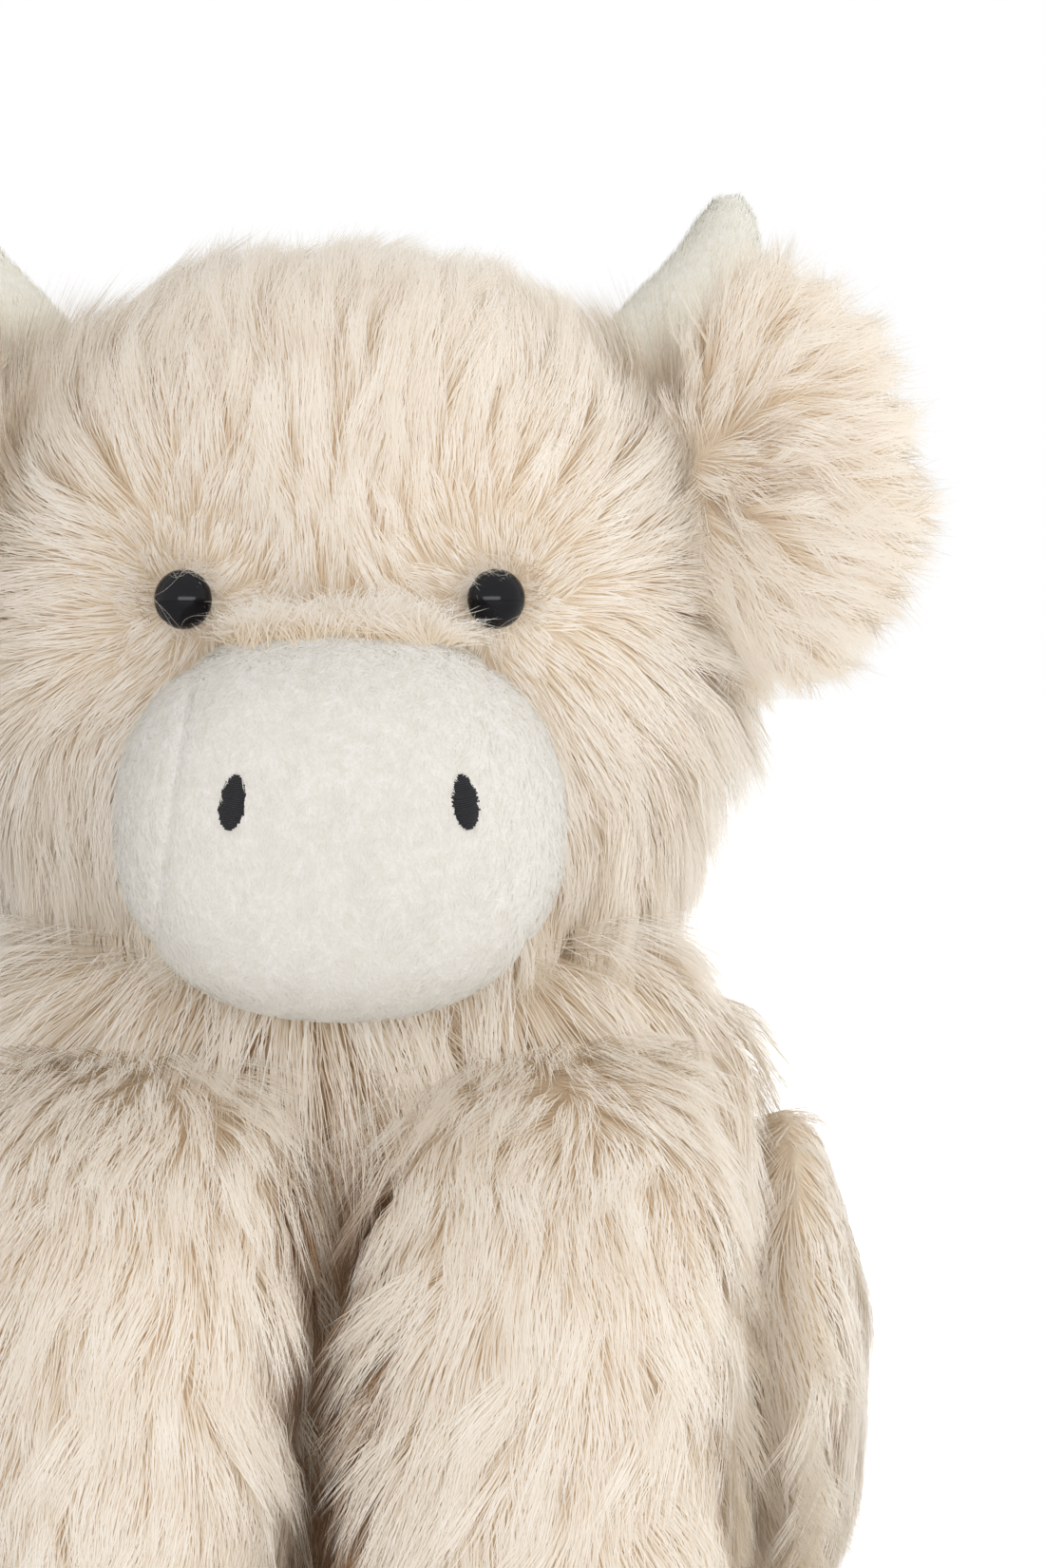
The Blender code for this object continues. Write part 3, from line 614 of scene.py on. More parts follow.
# Painted light: the pile over the leg tops gets a lighter tone, lifting the shade it lies in under the head.
tone = -0.52 * painted_shade_between_legs + 0.15 * over_legs
pile = (1 - 0.75 * below) * (1 - 0.10 * crown) * (1 + 0.40 * over_legs)
stand = 1.2 * over_legs - 0.15
torso_pieces = [piece("torso_backing", body_mesh, fur_backing)]
for word, part, hairs, width in (("front", -1, 1.0e6, 0.00027), ("back", 1, 7.5e5, 0.00036)):
    here = part * (y + 0.012) > 0
    comb(body_mesh, ways, pile, cover * here, tone, stand, wander=0.6, seed=10)
    made = grow_pile(
        "torso_fur_" + word, body_mesh, fur, hairs=hairs, locks=5e4, length=0.027, width=width,
        seed=100 + part, droop=0.14, lock_hold=0.4, strays=0.3,
    )
    torso_pieces.append(made)
settle(torso_pieces, "torso", "long_fur", "body_skin")


# Head.
# A round stuffed head of the same fur. The pile is combed up over the brow, out from around each eye
# and down over the cheeks, and it is clipped short above the muzzle.

eye_x = 0.0328
eye_z = 0.2605
eye_spots = [Vector((side * eye_x, 0, eye_z)) for side in (-1, 1)]
muzzle_z = 0.2145
muzzle_half_width = 0.0475
muzzle_low = 0.0395
muzzle_high = 0.0419
muzzle_fullness = 2.25
head_mesh = sewn_form([(["head_skin"], (0, -0.028, 0.262))], voxel=0.0028, inset=0.0062, seams=((2, 0.1873),))


def shape_head(mesh):
    """Draw the skin in round the eyes, but out to their flanges, and fill the jowls."""
    spots, leans = points_of(mesh)
    for eye in eye_spots:
        away = np.hypot(spots[:, 0] - eye.x, spots[:, 2] - eye.z)
        front = spots[:, 1] < -0.03
        lift = 0.0032 * hump(away, 0, 0.0095) - 0.0024 * hump(away, 0.015, 0.007)
        spots = spots + leans * (lift * front)[:, None]
    jowl = hump(spots[:, 2], 0.238, 0.016) * step_up(abs(spots[:, 0]), 0.045, 0.070)
    spots = spots + leans * (0.0018 * jowl)[:, None]
    round_top = 1 + 0.9 * hump(abs(spots[:, 0]), 0.050, 0.016)
    spots[:, 2] -= 0.0022 * step_up(spots[:, 2], 0.280, 0.320) * round_top
    place_points(mesh, spots)


def comb_head(mesh, part):
    """The pile of one half of the face or of the back of the head."""
    spots, leans = points_of(mesh)
    x, y, z = spots.T
    sides = np.where(x < 0, -1.0, 1.0)
    level = z - eye_z
    fan = np.clip(level / 0.034, -1.0, 1.0) * math.radians(84)
    middle = step_down(abs(x), 0.022, 0.055)
    fan = np.where(level > -0.004, fan + (math.radians(86) - fan) * middle, fan)
    sweep = 0.18 * step_up(z, 0.285, 0.32)
    front = np.stack([sides * np.cos(fan) + x * 2.5 * middle + sweep, 0.25 + 0 * x, np.sin(fan)], 1)
    for eye in eye_spots:
        off = np.stack([x - eye.x, 0 * x, z - eye.z], 1)
        away = np.linalg.norm(off, axis=1, keepdims=True)
        pull = hump(away, 0, 0.022)
        front = front * (1 - pull) + off / np.maximum(away, 1e-5) * pull
    behind = np.stack([x * 2.0, 0.25 + 0 * x, -np.ones(len(x))], 1)
    turn = step_up(y, -0.035, 0.020)[:, None]
    ways = front * (1 - turn) + behind * turn
    nearest = np.minimum(*[np.hypot(x - eye.x, z - eye.z) for eye in eye_spots])
    pile = 0.22 + 0.78 * step_up(nearest, 0.006, 0.034)
    tall = np.where(z > muzzle_z, muzzle_high, muzzle_low)
    ring = (abs(x) / muzzle_half_width) ** muzzle_fullness + (abs(z - muzzle_z) / tall) ** muzzle_fullness
    ring = np.where(y < -0.04, ring ** (1 / muzzle_fullness), 3.0)
    above = step_up(z, 0.240, 0.252) * step_down(abs(x), 0.030, 0.045)
    pile *= 1 - step_down(ring, 0.95, 1.55) * (0.15 + 0.25 * above)
    pile = np.where(y > -0.03, 1.0, pile)
    cheek = step_down(z, 0.225, 0.260) * step_up(abs(x), 0.045, 0.065)
    pile *= 1 + 0.30 * cheek
    by_ear = np.exp(-(((abs(x) - 0.076) / 0.012) ** 2) - ((z - 0.282) / 0.030) ** 2) * (y < 0)
    pile *= 1 + 0.50 * by_ear
    ways[:, 1] -= 0.7 * by_ear
    cover = step_up(ring, 0.80, 0.86)
    cover *= np.where((nearest < 0.0050) & (y < -0.04), 0, 1)
    cover *= 1 - 0.8 * step_up(-leans[:, 2], 0.75, 0.95)
    share = step_up(y, -0.045, -0.020)
    cover *= share if part == "back" else (1 - share) * (x * part > 0)
    # Painted shade: the pile round the root of each ear gets a darker tone.
    tone = -0.25 * step_down(np.hypot(abs(x) - 0.078, z - 0.285), 0.006, 0.022)
    stand = 0.15 * cheek + 0.3 * hump(z, 0.243, 0.012) * step_up(abs(x), 0.055, 0.070)
    stand += step_up(z, 0.300, 0.322) * (0.2 + 0.25 * ripple(spots, 0.010, 24))
    stand += 0.6 * above * step_down(ring, 1.0, 1.4)
    stand += 0.75 * by_ear
    comb(mesh, ways, pile, cover, tone, stand, wander=0.40, seed=20)


def comb_eye_rims(mesh):
    """Short pile round each eye that leans in over its rim."""
    spots, _ = points_of(mesh)
    inward = np.zeros_like(spots)
    rim = np.zeros(len(spots))
    for eye in eye_spots:
        off = np.stack([spots[:, 0] - eye.x, 0 * rim, spots[:, 2] - eye.z], 1)
        away = np.linalg.norm(off, axis=1)
        close = (away < 0.016) & (spots[:, 1] < -0.04)
        inward[close] = -off[close] + np.array([0, 0, 0.004])
        rim += np.where(spots[:, 1] < -0.04, hump(away, 0.0088, 0.0016), 0)
    # Painted shade: the rim pile gets a slightly darker tone round each eye.
    comb(mesh, inward, 1.0, rim, -0.05, stand=0.3, wander=0.8, seed=26)


shape_head(head_mesh)
head_pieces = [piece("head_backing", head_mesh, fur_backing)]
for name, part, seed, hairs, width in (
    ("face_fur_left", -1, 200, 1.6e6, 0.00022),
    ("face_fur_right", 1, 210, 1.6e6, 0.00022),
    ("back_of_head_fur", "back", 220, 8e5, 0.00036),
):
    comb_head(head_mesh, part)
    made = grow_pile(
        name, head_mesh, fur, hairs=hairs, locks=5e4, length=0.025, width=width, seed=seed,
        lift=0.58, bend=0.42,
    )
    head_pieces.append(made)
comb_eye_rims(head_mesh)
made = grow_pile(
    "eye_rim_fur", head_mesh, fur, hairs=3.0e6, locks=6e5, length=0.0060, width=0.00013, seed=230,
    lift=1.15, bend=0.35, hair_turn=0.6, wave=0.12, rows=4,
)
head_pieces.append(made)
settle(head_pieces, "head", "long_fur", "head_skin")


# Muzzle.
# Three panels of white short pile, a wide one over the front and a gusset each side, stuffed firmly.
# The seams pull in a little; the pile is about 2 mm long and lies in changing directions.

seam_offset = 0.0355
seam_slope = 0.15
seam_depth = 0.0007
panel_swell = 0.0004
nostril_middle = 0.0018
nostril_offset = 0.0237
nostril_z = 0.2219
# Painted shade: the deep colour darkens the seams, and the root colour darkens the depth of the pile.
short_pile = pile_finish(
    "short_pile",
    deep=(226, 220, 208),
    warm=(239, 236, 230),
    pale=(242, 240, 236),
    root=(246, 244, 240),
    tip=(255, 255, 253),
    through=(0.60, 0.59, 0.56, 1),
    Roughness=0.85,
    Specular_IOR_Level=0.2,
)


def build_plush_ground():
    """The dense ground of a short pile: mottled, with a soft grain."""
    inputs = (("Dark", "Color", None), ("Light", "Color", None), ("Clouds per m", "Float", 300.0))
    inputs += (("Grains per m", "Float", 1400.0), ("Relief", "Float", 0.0008))
    outputs = (("Colour", "Color"), ("Normal", "Vector"))
    tree, given, made = new_tree("plush_ground", "ShaderNodeTree", inputs, outputs)
    place = put(tree, "ShaderNodeTexCoord").outputs["Object"]
    feeds = {"Vector": place, "Scale": given["Clouds per m"], "Detail": 4.0}
    clouded = ramp(tree, put(tree, "ShaderNodeTexNoise", feeds).outputs[0], 0.35, 0.65)
    feeds = {"Vector": place, "Scale": given["Grains per m"], "Detail": 5.0}
    grain = put(tree, "ShaderNodeTexNoise", feeds).outputs[0]
    feeds = {"Height": grain, "Strength": 0.6, "Distance": given["Relief"]}
    tree.links.new(mix(tree, clouded, given["Dark"], given["Light"]), made["Colour"])
    tree.links.new(put(tree, "ShaderNodeBump", feeds).outputs[0], made["Normal"])
    return tree


plush_ground = build_plush_ground()


def plush_finish(name, light, dark, cell):
    values = {"Light": light, "Dark": dark, "Clouds per m": 0.5 / cell, "Grains per m": 2.2 / cell}
    values["Relief"] = cell * 0.5
    constants = {"Roughness": 0.85, "Specular_IOR_Level": 0.25, "Sheen_Weight": 0.15}
    return cloth_finish(name, plush_ground, values, **constants)


def seam_distance(spots):
    """How far points lie outside the nearer of the two leaning seams."""
    return abs(spots[:, 0]) - (seam_offset - seam_slope * (spots[:, 2] - muzzle_z))


def panel_mesh(side):
    """One panel of the muzzle, cut from the whole along the leaning seams and closed."""
    form = bmesh.new()
    form.from_mesh(muzzle_form)
    for seam in (-1, 1):
        normal = Vector((seam, 0, seam_slope)).normalized()
        spot = Vector((seam * seam_offset, 0, muzzle_z))
        keep_out = side == seam
        if side and not keep_out:
            continue
        cells = form.verts[:] + form.edges[:] + form.faces[:]
        bmesh.ops.bisect_plane(
            form, geom=cells, plane_co=spot, plane_no=normal, clear_outer=not keep_out, clear_inner=keep_out
        )
        rim = [edge for edge in form.edges if edge.is_boundary]
        bmesh.ops.triangle_fill(form, use_beauty=True, edges=rim)
    bmesh.ops.recalc_face_normals(form, faces=form.faces)
    mesh = mesh_of(form)
    mesh.shade_smooth()
    mesh.set_sharp_from_angle(angle=math.radians(60))
    return mesh


muzzle_ground = plush_finish("muzzle_ground", srgb(242, 239, 234), srgb(236, 232, 225), cell=0.0016)
panel_sides = {"muzzle_center_panel": 0, "muzzle_left_panel": -1, "muzzle_right_panel": 1}
muzzle_form = sewn_form([(list(panel_sides), (0, -0.118, muzzle_z))], voxel=0.0014, inset=0.0006, rounds=14)
spots, leans = points_of(muzzle_form)
from_seam = seam_distance(spots)
shift = -seam_depth * hump(from_seam, 0, 0.0010) + panel_swell * step_up(abs(from_seam), 0.001, 0.008)
spots += leans * shift[:, None]
spots[:, 2] -= 0.035 * np.maximum(muzzle_z - spots[:, 2], 0)
place_points(muzzle_form, spots)
for node, side in panel_sides.items():
    panel = piece(node.replace("_panel", "_cloth"), panel_mesh(side), muzzle_ground)
    settle([panel], "head", "short_pile", node)

spots, leans = points_of(muzzle_form)
x, y, z = spots.T
near_seam = hump(seam_distance(spots), 0, 0.0009)
from_nostril = np.hypot((abs(x - nostril_middle) - nostril_offset) / 0.0026, (z - nostril_z) / 0.0055)
cover = step_up(-y, 0.088, 0.092) * np.where(from_nostril < 1, 0, 1) * (1 - 0.5 * near_seam)
wander = np.stack([0.7 * ripple(spots, 0.006, 31), 0 * x, -1.0 + 0 * x], 1)
# Painted shade: along the seams the tone is darker, on top of the thinner, shorter pile there.
comb(muzzle_form, wander, 1 - 0.4 * near_seam, cover, -0.15 * near_seam, wander=0.3, seed=33)
muzzle_fuzz = grow_pile(
    "muzzle_pile", muzzle_form, short_pile, hairs=1.5e6, locks=2e5, length=0.0020, width=0.00022, seed=300,
    lift=0.55, bend=0.3, lock_turn=0.3, hair_turn=0.3, length_spread=0.35, roundness=0.1,
)
settle([muzzle_fuzz], "head", "short_pile", *panel_sides)

fringe_line = 0.2525 - 0.9 * np.maximum(abs(x) - 0.027, 0)
fringe = step_up(z - fringe_line, -0.0012, 0.0012) * step_up(y, -0.135, -0.128) * (abs(x) < 0.046)
lie = np.stack([0.9 * ripple(spots, 0.004, 35) + 4 * x, 1 + 0 * x, 0.9 + 0 * x], 1)
pile = 1 + 0.35 * ripple(spots, 0.005, 37)
comb(muzzle_form, lie, pile, fringe, 0, 0.3 * ripple(spots, 0.004, 38), wander=1.2, seed=36)
forward = leans + np.array([0, -0.6, 0.3])
forward /= np.linalg.norm(forward, axis=1, keepdims=True)
muzzle_form.attributes["skin_normal"].data.foreach_set("vector", forward.ravel())
brow_fringe = grow_pile(
    "brow_fringe", muzzle_form, fur, hairs=2.2e6, locks=2e5, length=0.0130, width=0.00023, seed=310,
    lift=0.85, bend=0.45, hair_turn=0.6, length_spread=0.6, wave=0.12, rows=4,
)
settle([brow_fringe], "head", "long_fur", "head_skin")


# Nostrils.
# Two upright ovals in black satin stitch, each a row of threads from side to side, sewn through the front
# panel so tightly that they stand a little proud of the pile.

nostril_lean = math.radians(9)


def build_satin_tree():
    """Threads side by side over an oval, laid on the cloth from the front."""
    tree, given, made = new_tree(
        "satin_stitch",
        "GeometryNodeTree",
        (
            ("Cloth", "Geometry", None),
            ("Centre", "Vector", None),
            ("Half width", "Float", 0.0028),
            ("Half height", "Float", 0.0057),
            ("Threads", "Int", 27),
            ("Thread radius", "Float", 0.00024),
            ("Crown", "Float", 0.0011),
            ("Seed", "Int", 3),
            ("Finish", "Material", None),
        ),
        (("Stitches", "Geometry"),),
    )
    num, product, total, _, _, split, join, layer, store = tree_words(tree)
    radius = given["Thread radius"]
    rows = put(tree, "GeometryNodeMeshLine", {"Count": given["Threads"]}, mode="OFFSET").outputs[0]
    index = put(tree, "GeometryNodeInputIndex").outputs[0]
    share = num("DIVIDE", total(index, 0.5), given["Threads"])
    level = num("SUBTRACT", product(share, 2.0), 1.0)
    oval = num("SUBTRACT", 1.0, num("POWER", num("ABSOLUTE", level), 2.2))
    wide = num("SQRT", num("MAXIMUM", oval, 0.03))
    ragged = put(tree, "FunctionNodeRandomValue", {"Min": 0.90, "Max": 1.08, "Seed": given["Seed"]})
    wide = product(wide, socket(ragged.outputs, "Value"))
    rows = store(rows, "level", level)
    rows = store(rows, "wide", wide)

    feeds = {"Start": (-1.0, 0.0, 0.0), "End": (1.0, 0.0, 0.0)}
    thread = put(tree, "GeometryNodeCurvePrimitiveLine", feeds).outputs[0]
    thread = put(tree, "GeometryNodeResampleCurve", {"Curve": thread, "Count": 9}).outputs[0]
    feeds = {"Resolution": 6, "Radius": 1.0}
    profile = put(tree, "GeometryNodeCurvePrimitiveCircle", feeds, mode="RADIUS").outputs[0]
    feeds = {"Curve": thread, "Profile Curve": profile, "Fill Caps": True}
    thread = put(tree, "GeometryNodeCurveToMesh", feeds).outputs[0]
    thread = store(thread, "thread", put(tree, "GeometryNodeInputPosition").outputs[0], arrow)
    sewn = put(tree, "GeometryNodeInstanceOnPoints", {"Points": rows, "Instance": thread}).outputs[0]
    sewn = put(tree, "GeometryNodeRealizeInstances", {"Geometry": sewn}).outputs[0]

    local = split(layer("thread", arrow))
    middle = split(given["Centre"])
    across = total(middle[0], product(local[0], layer("wide"), given["Half width"]))
    up = total(middle[2], product(layer("level"), given["Half height"]))
    feeds = {"Target Geometry": given["Cloth"], "Source Position": join(across, -0.3, up)}
    feeds.update({"Ray Direction": (0.0, 1.0, 0.0), "Ray Length": 1.0})
    touch = split(socket(put(tree, "GeometryNodeRaycast", feeds).outputs, "Hit Position"))
    arch = num("SUBTRACT", 1.0, num("POWER", num("ABSOLUTE", local[0]), 2.0))
    arch = num("SUBTRACT", product(arch, given["Crown"]), radius)
    deep = num("SUBTRACT", num("SUBTRACT", touch[1], arch), product(local[1], radius))
    spot = join(across, deep, total(up, product(local[2], radius)))
    sewn = put(tree, "GeometryNodeSetPosition", {"Geometry": sewn, "Position": spot}).outputs[0]
    sewn = put(tree, "GeometryNodeSetMaterial", {"Geometry": sewn, "Material": given["Finish"]}).outputs[0]
    tree.links.new(sewn, made["Stitches"])
    return tree


def build_mottle():
    """A colour that wanders between two near tones over the piece."""
    inputs = (("Scale", "Vector", None), ("Low", "Color", None), ("High", "Color", None))
    tree, given, made = new_tree("mottle", "ShaderNodeTree", inputs, (("Colour", "Color"),))
    place = put(tree, "ShaderNodeTexCoord").outputs["Object"]
    place = put(tree, "ShaderNodeVectorMath", {0: place, 1: given["Scale"]}, operation="MULTIPLY").outputs[0]
    cloud = put(tree, "ShaderNodeTexNoise", {"Vector": place, "Scale": 1.0}).outputs[0]
    tree.links.new(mix(tree, cloud, given["Low"], given["High"]), made["Colour"])
    return tree


mottle = build_mottle()


def mottled_finish(name, scale, low, high, **constants):
    finish, tree, shader = new_material(name, **constants)
    feeds = {"Scale": scale, "Low": low, "High": high}
    mottled = put(tree, "ShaderNodeGroup", feeds, node_tree=mottle).outputs[0]
    tree.links.new(mottled, shader.inputs["Base Color"])
    return finish


satin_tree = build_satin_tree()
thread_finish = mottled_finish(
    "black_thread", (600, 600, 4000), srgb(10, 10, 13), srgb(38, 38, 44),
    Roughness=0.5, Specular_IOR_Level=0.45,
)
for side, word in ((-1, "left"), (1, "right")):
    middle = Vector((nostril_middle + side * nostril_offset, -0.15, nostril_z))
    values = {"Centre": middle, "Seed": 5 + side, "Finish": thread_finish}
    stitched = run_tree("stitches", muzzle_form, satin_tree, values)
    lean_in = Matrix.Rotation(-side * nostril_lean, 4, "Y")
    stitched.transform(Matrix.Translation(middle) @ lean_in @ Matrix.Translation(-middle))
    form = bmesh.new()
    form.from_mesh(stitched)
    bmesh.ops.recalc_face_normals(form, faces=form.faces)
    form.to_mesh(stitched)
    form.free()
    stitched.shade_smooth()
    nostril = piece("nostril_stitches_" + word, stitched, thread_finish)
    settle([nostril], "head", "black_thread", "nostril_" + word)


# Eyes.
# Domed safety eyes of polished black plastic; the shank goes through the skin to a lock washer inside.
# The pile stands close round each, and a few loose hairs cross the dome.

eye_turn = math.radians(20)
eye_radius = 0.0064
eye_height = 0.0051
flange = 0.0006
shank_radius = 0.0018
shank_length = 0.0138
dome_rings = 16
loose_hairs = 8
hair_half_width = 0.000016
eye_gloss = mottled_finish(
    "eye_plastic", (220, 220, 220), srgb(8, 8, 12), srgb(18, 18, 25), Roughness=0.10, Specular_IOR_Level=0.25
)


def eye_mesh():
    """Shank, flange and dome, turned round the Z axis."""
    outline = [(0.0, -shank_length), (shank_radius, -shank_length), (shank_radius, -0.0002), (0.0059, 0.0)]
    outline += [(0.0063, 0.0002), (eye_radius, flange)]
    for step in range(1, dome_rings + 1):
        turn = math.pi / 2 * step / dome_rings
        outline.append((eye_radius * math.cos(turn), flange + eye_height * math.sin(turn)))
    form = bmesh.new()
    ring = [form.verts.new((radius, 0, rise)) for radius, rise in outline]
    edges = [form.edges.new(pair) for pair in zip(ring, ring[1:])]
    bmesh.ops.spin(
        form, geom=ring + edges, axis=(0, 0, 1), cent=(0, 0, 0), steps=48, angle=math.tau, use_duplicate=False
    )
    bmesh.ops.remove_doubles(form, verts=form.verts, dist=0.00001)
    bmesh.ops.recalc_face_normals(form, faces=form.faces)
    return form


def strand_mesh(seed):
    """Loose hairs that cross the dome, each a bent ribbon."""
    chance = np.random.default_rng(seed)
    form = bmesh.new()
    sheet = form.loops.layers.uv.new("OFBake")
    for _ in range(loose_hairs):
        turn = chance.uniform(0, math.tau)
        gap = chance.uniform(4.2, 6.6) * 0.001
        sag = chance.uniform(-0.0022, 0.0022)
        across = Vector((math.cos(turn), math.sin(turn), 0))
        over = Vector((-across.y, across.x, 0))
        reach = math.sqrt(0.0072**2 - gap**2)
        pairs = []
        for step in range(11):
            share = step / 10 * 2 - 1
            spot = over * (gap + sag * (1 - share * share)) + across * (share * reach)
            spot.z = 0.0008 + 0.0052 * math.sqrt(max(1 - (spot.length / 0.0069) ** 2, 0))
            half = over * hair_half_width
            pairs.append([form.verts.new(spot - half), form.verts.new(spot + half)])
        for low, high in zip(pairs, pairs[1:]):
            face = form.faces.new((low[0], high[0], high[1], low[1]))
            for corner in face.loops:
                corner[sheet].uv = (0.25, 0.7)
    return form


for side, word in ((-1, "left"), (1, "right")):
    solid, _ = points_of(nodes["eye_" + word].data)
    outward = Vector((side * math.sin(eye_turn), -math.cos(eye_turn), 0))
    front = (solid @ np.array(outward)).max()
    seat = Vector((side * eye_x, 0, eye_z))
    seat.y = (front - 0.00575 - seat.x * outward.x) / outward.y
    frame_of_eye = Matrix.Translation(seat) @ outward.to_track_quat("Z", "Y").to_matrix().to_4x4()
    dome, strands = eye_mesh(), strand_mesh(60 + side)
    for form in (dome, strands):
        bmesh.ops.transform(form, matrix=frame_of_eye, verts=form.verts)
    mesh = mesh_of(dome)
    mesh.shade_smooth()
    mesh.set_sharp_from_angle(angle=math.radians(50))
    settle([piece("eye_dome_" + word, mesh, eye_gloss)], "head", "eye_plastic", "eye_" + word)
    settle([piece("loose_hairs_" + word, mesh_of(strands), fur)], "head", "long_fur", "head_skin")


# Horns.
# Curved cones of pale green-white velour, stuffed and sewn into the upper corners of the head.
# The short pile stands in fine upright ridges, and the tips are blunt.

horn_route = ((0.055, 0.290), (0.0692, 0.3039), (0.0790, 0.3189), (0.0838, 0.3310))
horn_route += ((0.0858, 0.3399), (0.0864, 0.3450))
horn_radii = (0.0172, 0.0170, 0.0142, 0.0098, 0.0066, 0.0036)
horn_y = -0.015
horn_depth = 0.78
horn_rows = 34
horn_ribs = 160
rib_height = 0.00012
tip_height = 0.0012
# Painted shade: the root colour darkens the depth of the pile.
horn_velour = pile_finish(
    "horn_pile",
    deep=(232, 230, 217),
    warm=(248, 246, 238),
    pale=(254, 253, 249),
    root=(246, 246, 240),
    tip=(255, 255, 253),
    through=(0.80, 0.79, 0.75, 1),
    Roughness=0.85,
    Specular_IOR_Level=0.2,
)
horn_ground = plush_finish("horn_ground", srgb(253, 251, 245), srgb(248, 246, 238), cell=0.0011)


def smooth_row(values, count):
    """The values as a smooth row of more points."""
    values = np.array(values, float)
    here = np.linspace(0, len(values) - 1, count)
    low = np.clip(here.astype(int), 0, len(values) - 2)
    part = (here - low)[:, None] if values.ndim > 1 else here - low
    before = values[np.clip(low - 1, 0, None)]
    after = values[np.clip(low + 2, None, len(values) - 1)]
    start, end = values[low], values[low + 1]
    bend = 2 * before - 5 * start + 4 * end - after
    swing = 3 * (start - end) + after - before
    return 0.5 * (2 * start + (end - before) * part + bend * part**2 + swing * part**3)


def horn_mesh(side):
    """A tapering tube with fine ribs along it, closed at the root and rounded at the tip."""
    route = smooth_row(horn_route, horn_rows)
    radii = smooth_row(horn_radii, horn_rows)
    rows = []
    form = bmesh.new()
    for index, ((out, up), radius) in enumerate(zip(route, radii)):
        before, after = route[max(index - 1, 0)], route[min(index + 1, len(route) - 1)]
        along = Vector((side * (after[0] - before[0]), 0, after[1] - before[1])).normalized()
        over = along.cross(Vector((0, 1, 0))).normalized()
        rows.append([])
        for step in range(horn_ribs):
            turn = math.tau * step / horn_ribs
            rib = radius + rib_height * (-1) ** step
            spot = Vector((side * out, horn_y, up)) + over * (rib * math.sin(turn))
            rows[-1].append(form.verts.new(spot + Vector((0, horn_depth * rib * math.cos(turn), 0))))
    for low, high in zip(rows, rows[1:]):
        for step in range(horn_ribs):
            after = (step + 1) % horn_ribs
            form.faces.new((low[step], low[after], high[after], high[step]))
    form.faces.new(rows[0])
    tip = form.verts.new(Vector((side * route[-1][0], horn_y, route[-1][1] + tip_height)))
    for step in range(horn_ribs):
        form.faces.new((rows[-1][step], rows[-1][(step + 1) % horn_ribs], tip))
    bmesh.ops.recalc_face_normals(form, faces=form.faces)
    mesh = mesh_of(form)
    mesh.shade_smooth()
    return mesh


for side, word in ((-1, "left"), (1, "right")):
    mesh = horn_mesh(side)
    spots, leans = points_of(mesh)
    flat = np.zeros(len(spots))
    lean = np.stack([flat + side * 0.42, flat, flat + 1], 1)
    tone = np.append(np.tile(np.where(np.arange(horn_ribs) % 2, 0.22, -0.22), horn_rows), 0)
    tone += 0.30 * step_up(side * leans[:, 0], 0.55, 0.75) - 0.10
    comb(mesh, lean, 1.0, step_up(spots[:, 2], 0.293, 0.300), tone, wander=0.1, seed=40)
    horn = piece("horn_cloth_" + word, mesh, horn_ground)
    horn_fuzz = grow_pile(
        "horn_pile_" + word, mesh, horn_velour, hairs=1.9e6, locks=6e5, length=0.0018, width=0.00022,
        seed=400 + side, lift=0.7, bend=0.2, lock_turn=0.2, hair_turn=0.2, length_spread=0.3, roundness=0.1,
    )
    settle([horn, horn_fuzz], "head", "horn_velour", "horn_" + word)


# Ears.
# Flat two-layer ears of the long fur, pinched where they are sewn to the head and turned to the front.
# The pile radiates from the pinch and hangs over the rim in ragged tips.

ear_y = -0.044
ear_z = 0.287
pinch_z = 0.288
for side, word in ((-1, "left"), (1, "right")):
    ear_mesh = sewn_form([(["ear_" + word], (side * 0.107, ear_y, ear_z))], voxel=0.0022, inset=0.0064)
    spots, _ = points_of(ear_mesh)
    root = step_down(side * spots[:, 0], 0.082, 0.106)
    upper = step_up(spots[:, 2], 0.275, 0.300)
    spots[:, 2] = ear_z + (spots[:, 2] - ear_z) * (1 + 0.30 * root)
    spots[:, 2] -= 0.003 * step_up(side * spots[:, 0], 0.085, 0.110)
    spots[:, 0] -= side * root * (0.006 + 0.012 * upper)
    spots[:, 0] -= side * 0.0035 * (1 - root)
    place_points(ear_mesh, spots)
    spots, _ = points_of(ear_mesh)
    x, y, z = spots.T
    off = np.stack([x - side * 0.074, 0 * x, z - pinch_z], 1)
    away = np.linalg.norm(off, axis=1)
    ways = off / np.maximum(away, 1e-4)[:, None] + np.array([side * 0.12, 0, 0])
    high = step_up(z, 0.275, 0.305)
    low = step_down(z, 0.245, 0.265)
    pile = 0.6 + 0.4 * step_up(away, 0.006, 0.030)
    pile = pile * (1 - (0.15 + 0.35 * high + 0.2 * low) * step_up(away, 0.030, 0.048))
    pinch = step_down(np.hypot(abs(x) - 0.084, z - pinch_z), 0.004, 0.018)
    stand = pinch * (0.2 + 0.5 * ripple(spots, 0.006, 55)) - 0.10 * step_up(away, 0.030, 0.045)
    cover = np.where(y < ear_y, 1.35, 0.65)
    # Painted shade: the pile round the pinch gets a darker tone.
    comb(ear_mesh, ways, pile, cover, -0.20 * pinch, stand, wander=0.9, seed=50)
    ear = piece("ear_backing_" + word, ear_mesh, fur_backing)
    ear_fur = grow_pile(
        "ear_fur_" + word, ear_mesh, fur, hairs=1.6e6, locks=7e4, length=0.022, width=0.00021,
        seed=500 + side, lift=0.62, bend=0.4, lock_turn=0.7, length_spread=0.4, wave=0.06,
    )
    settle([ear, ear_fur], "ear_l" if side < 0 else "ear_r", "long_fur", "ear_" + word)


# Front legs.
# Two long fur sleeves, stuffed softly and sewn to the chest under the muzzle, that hang to the floor.
# The pile swirls at the shoulder, fans down the leg and lies in layers over the foot.

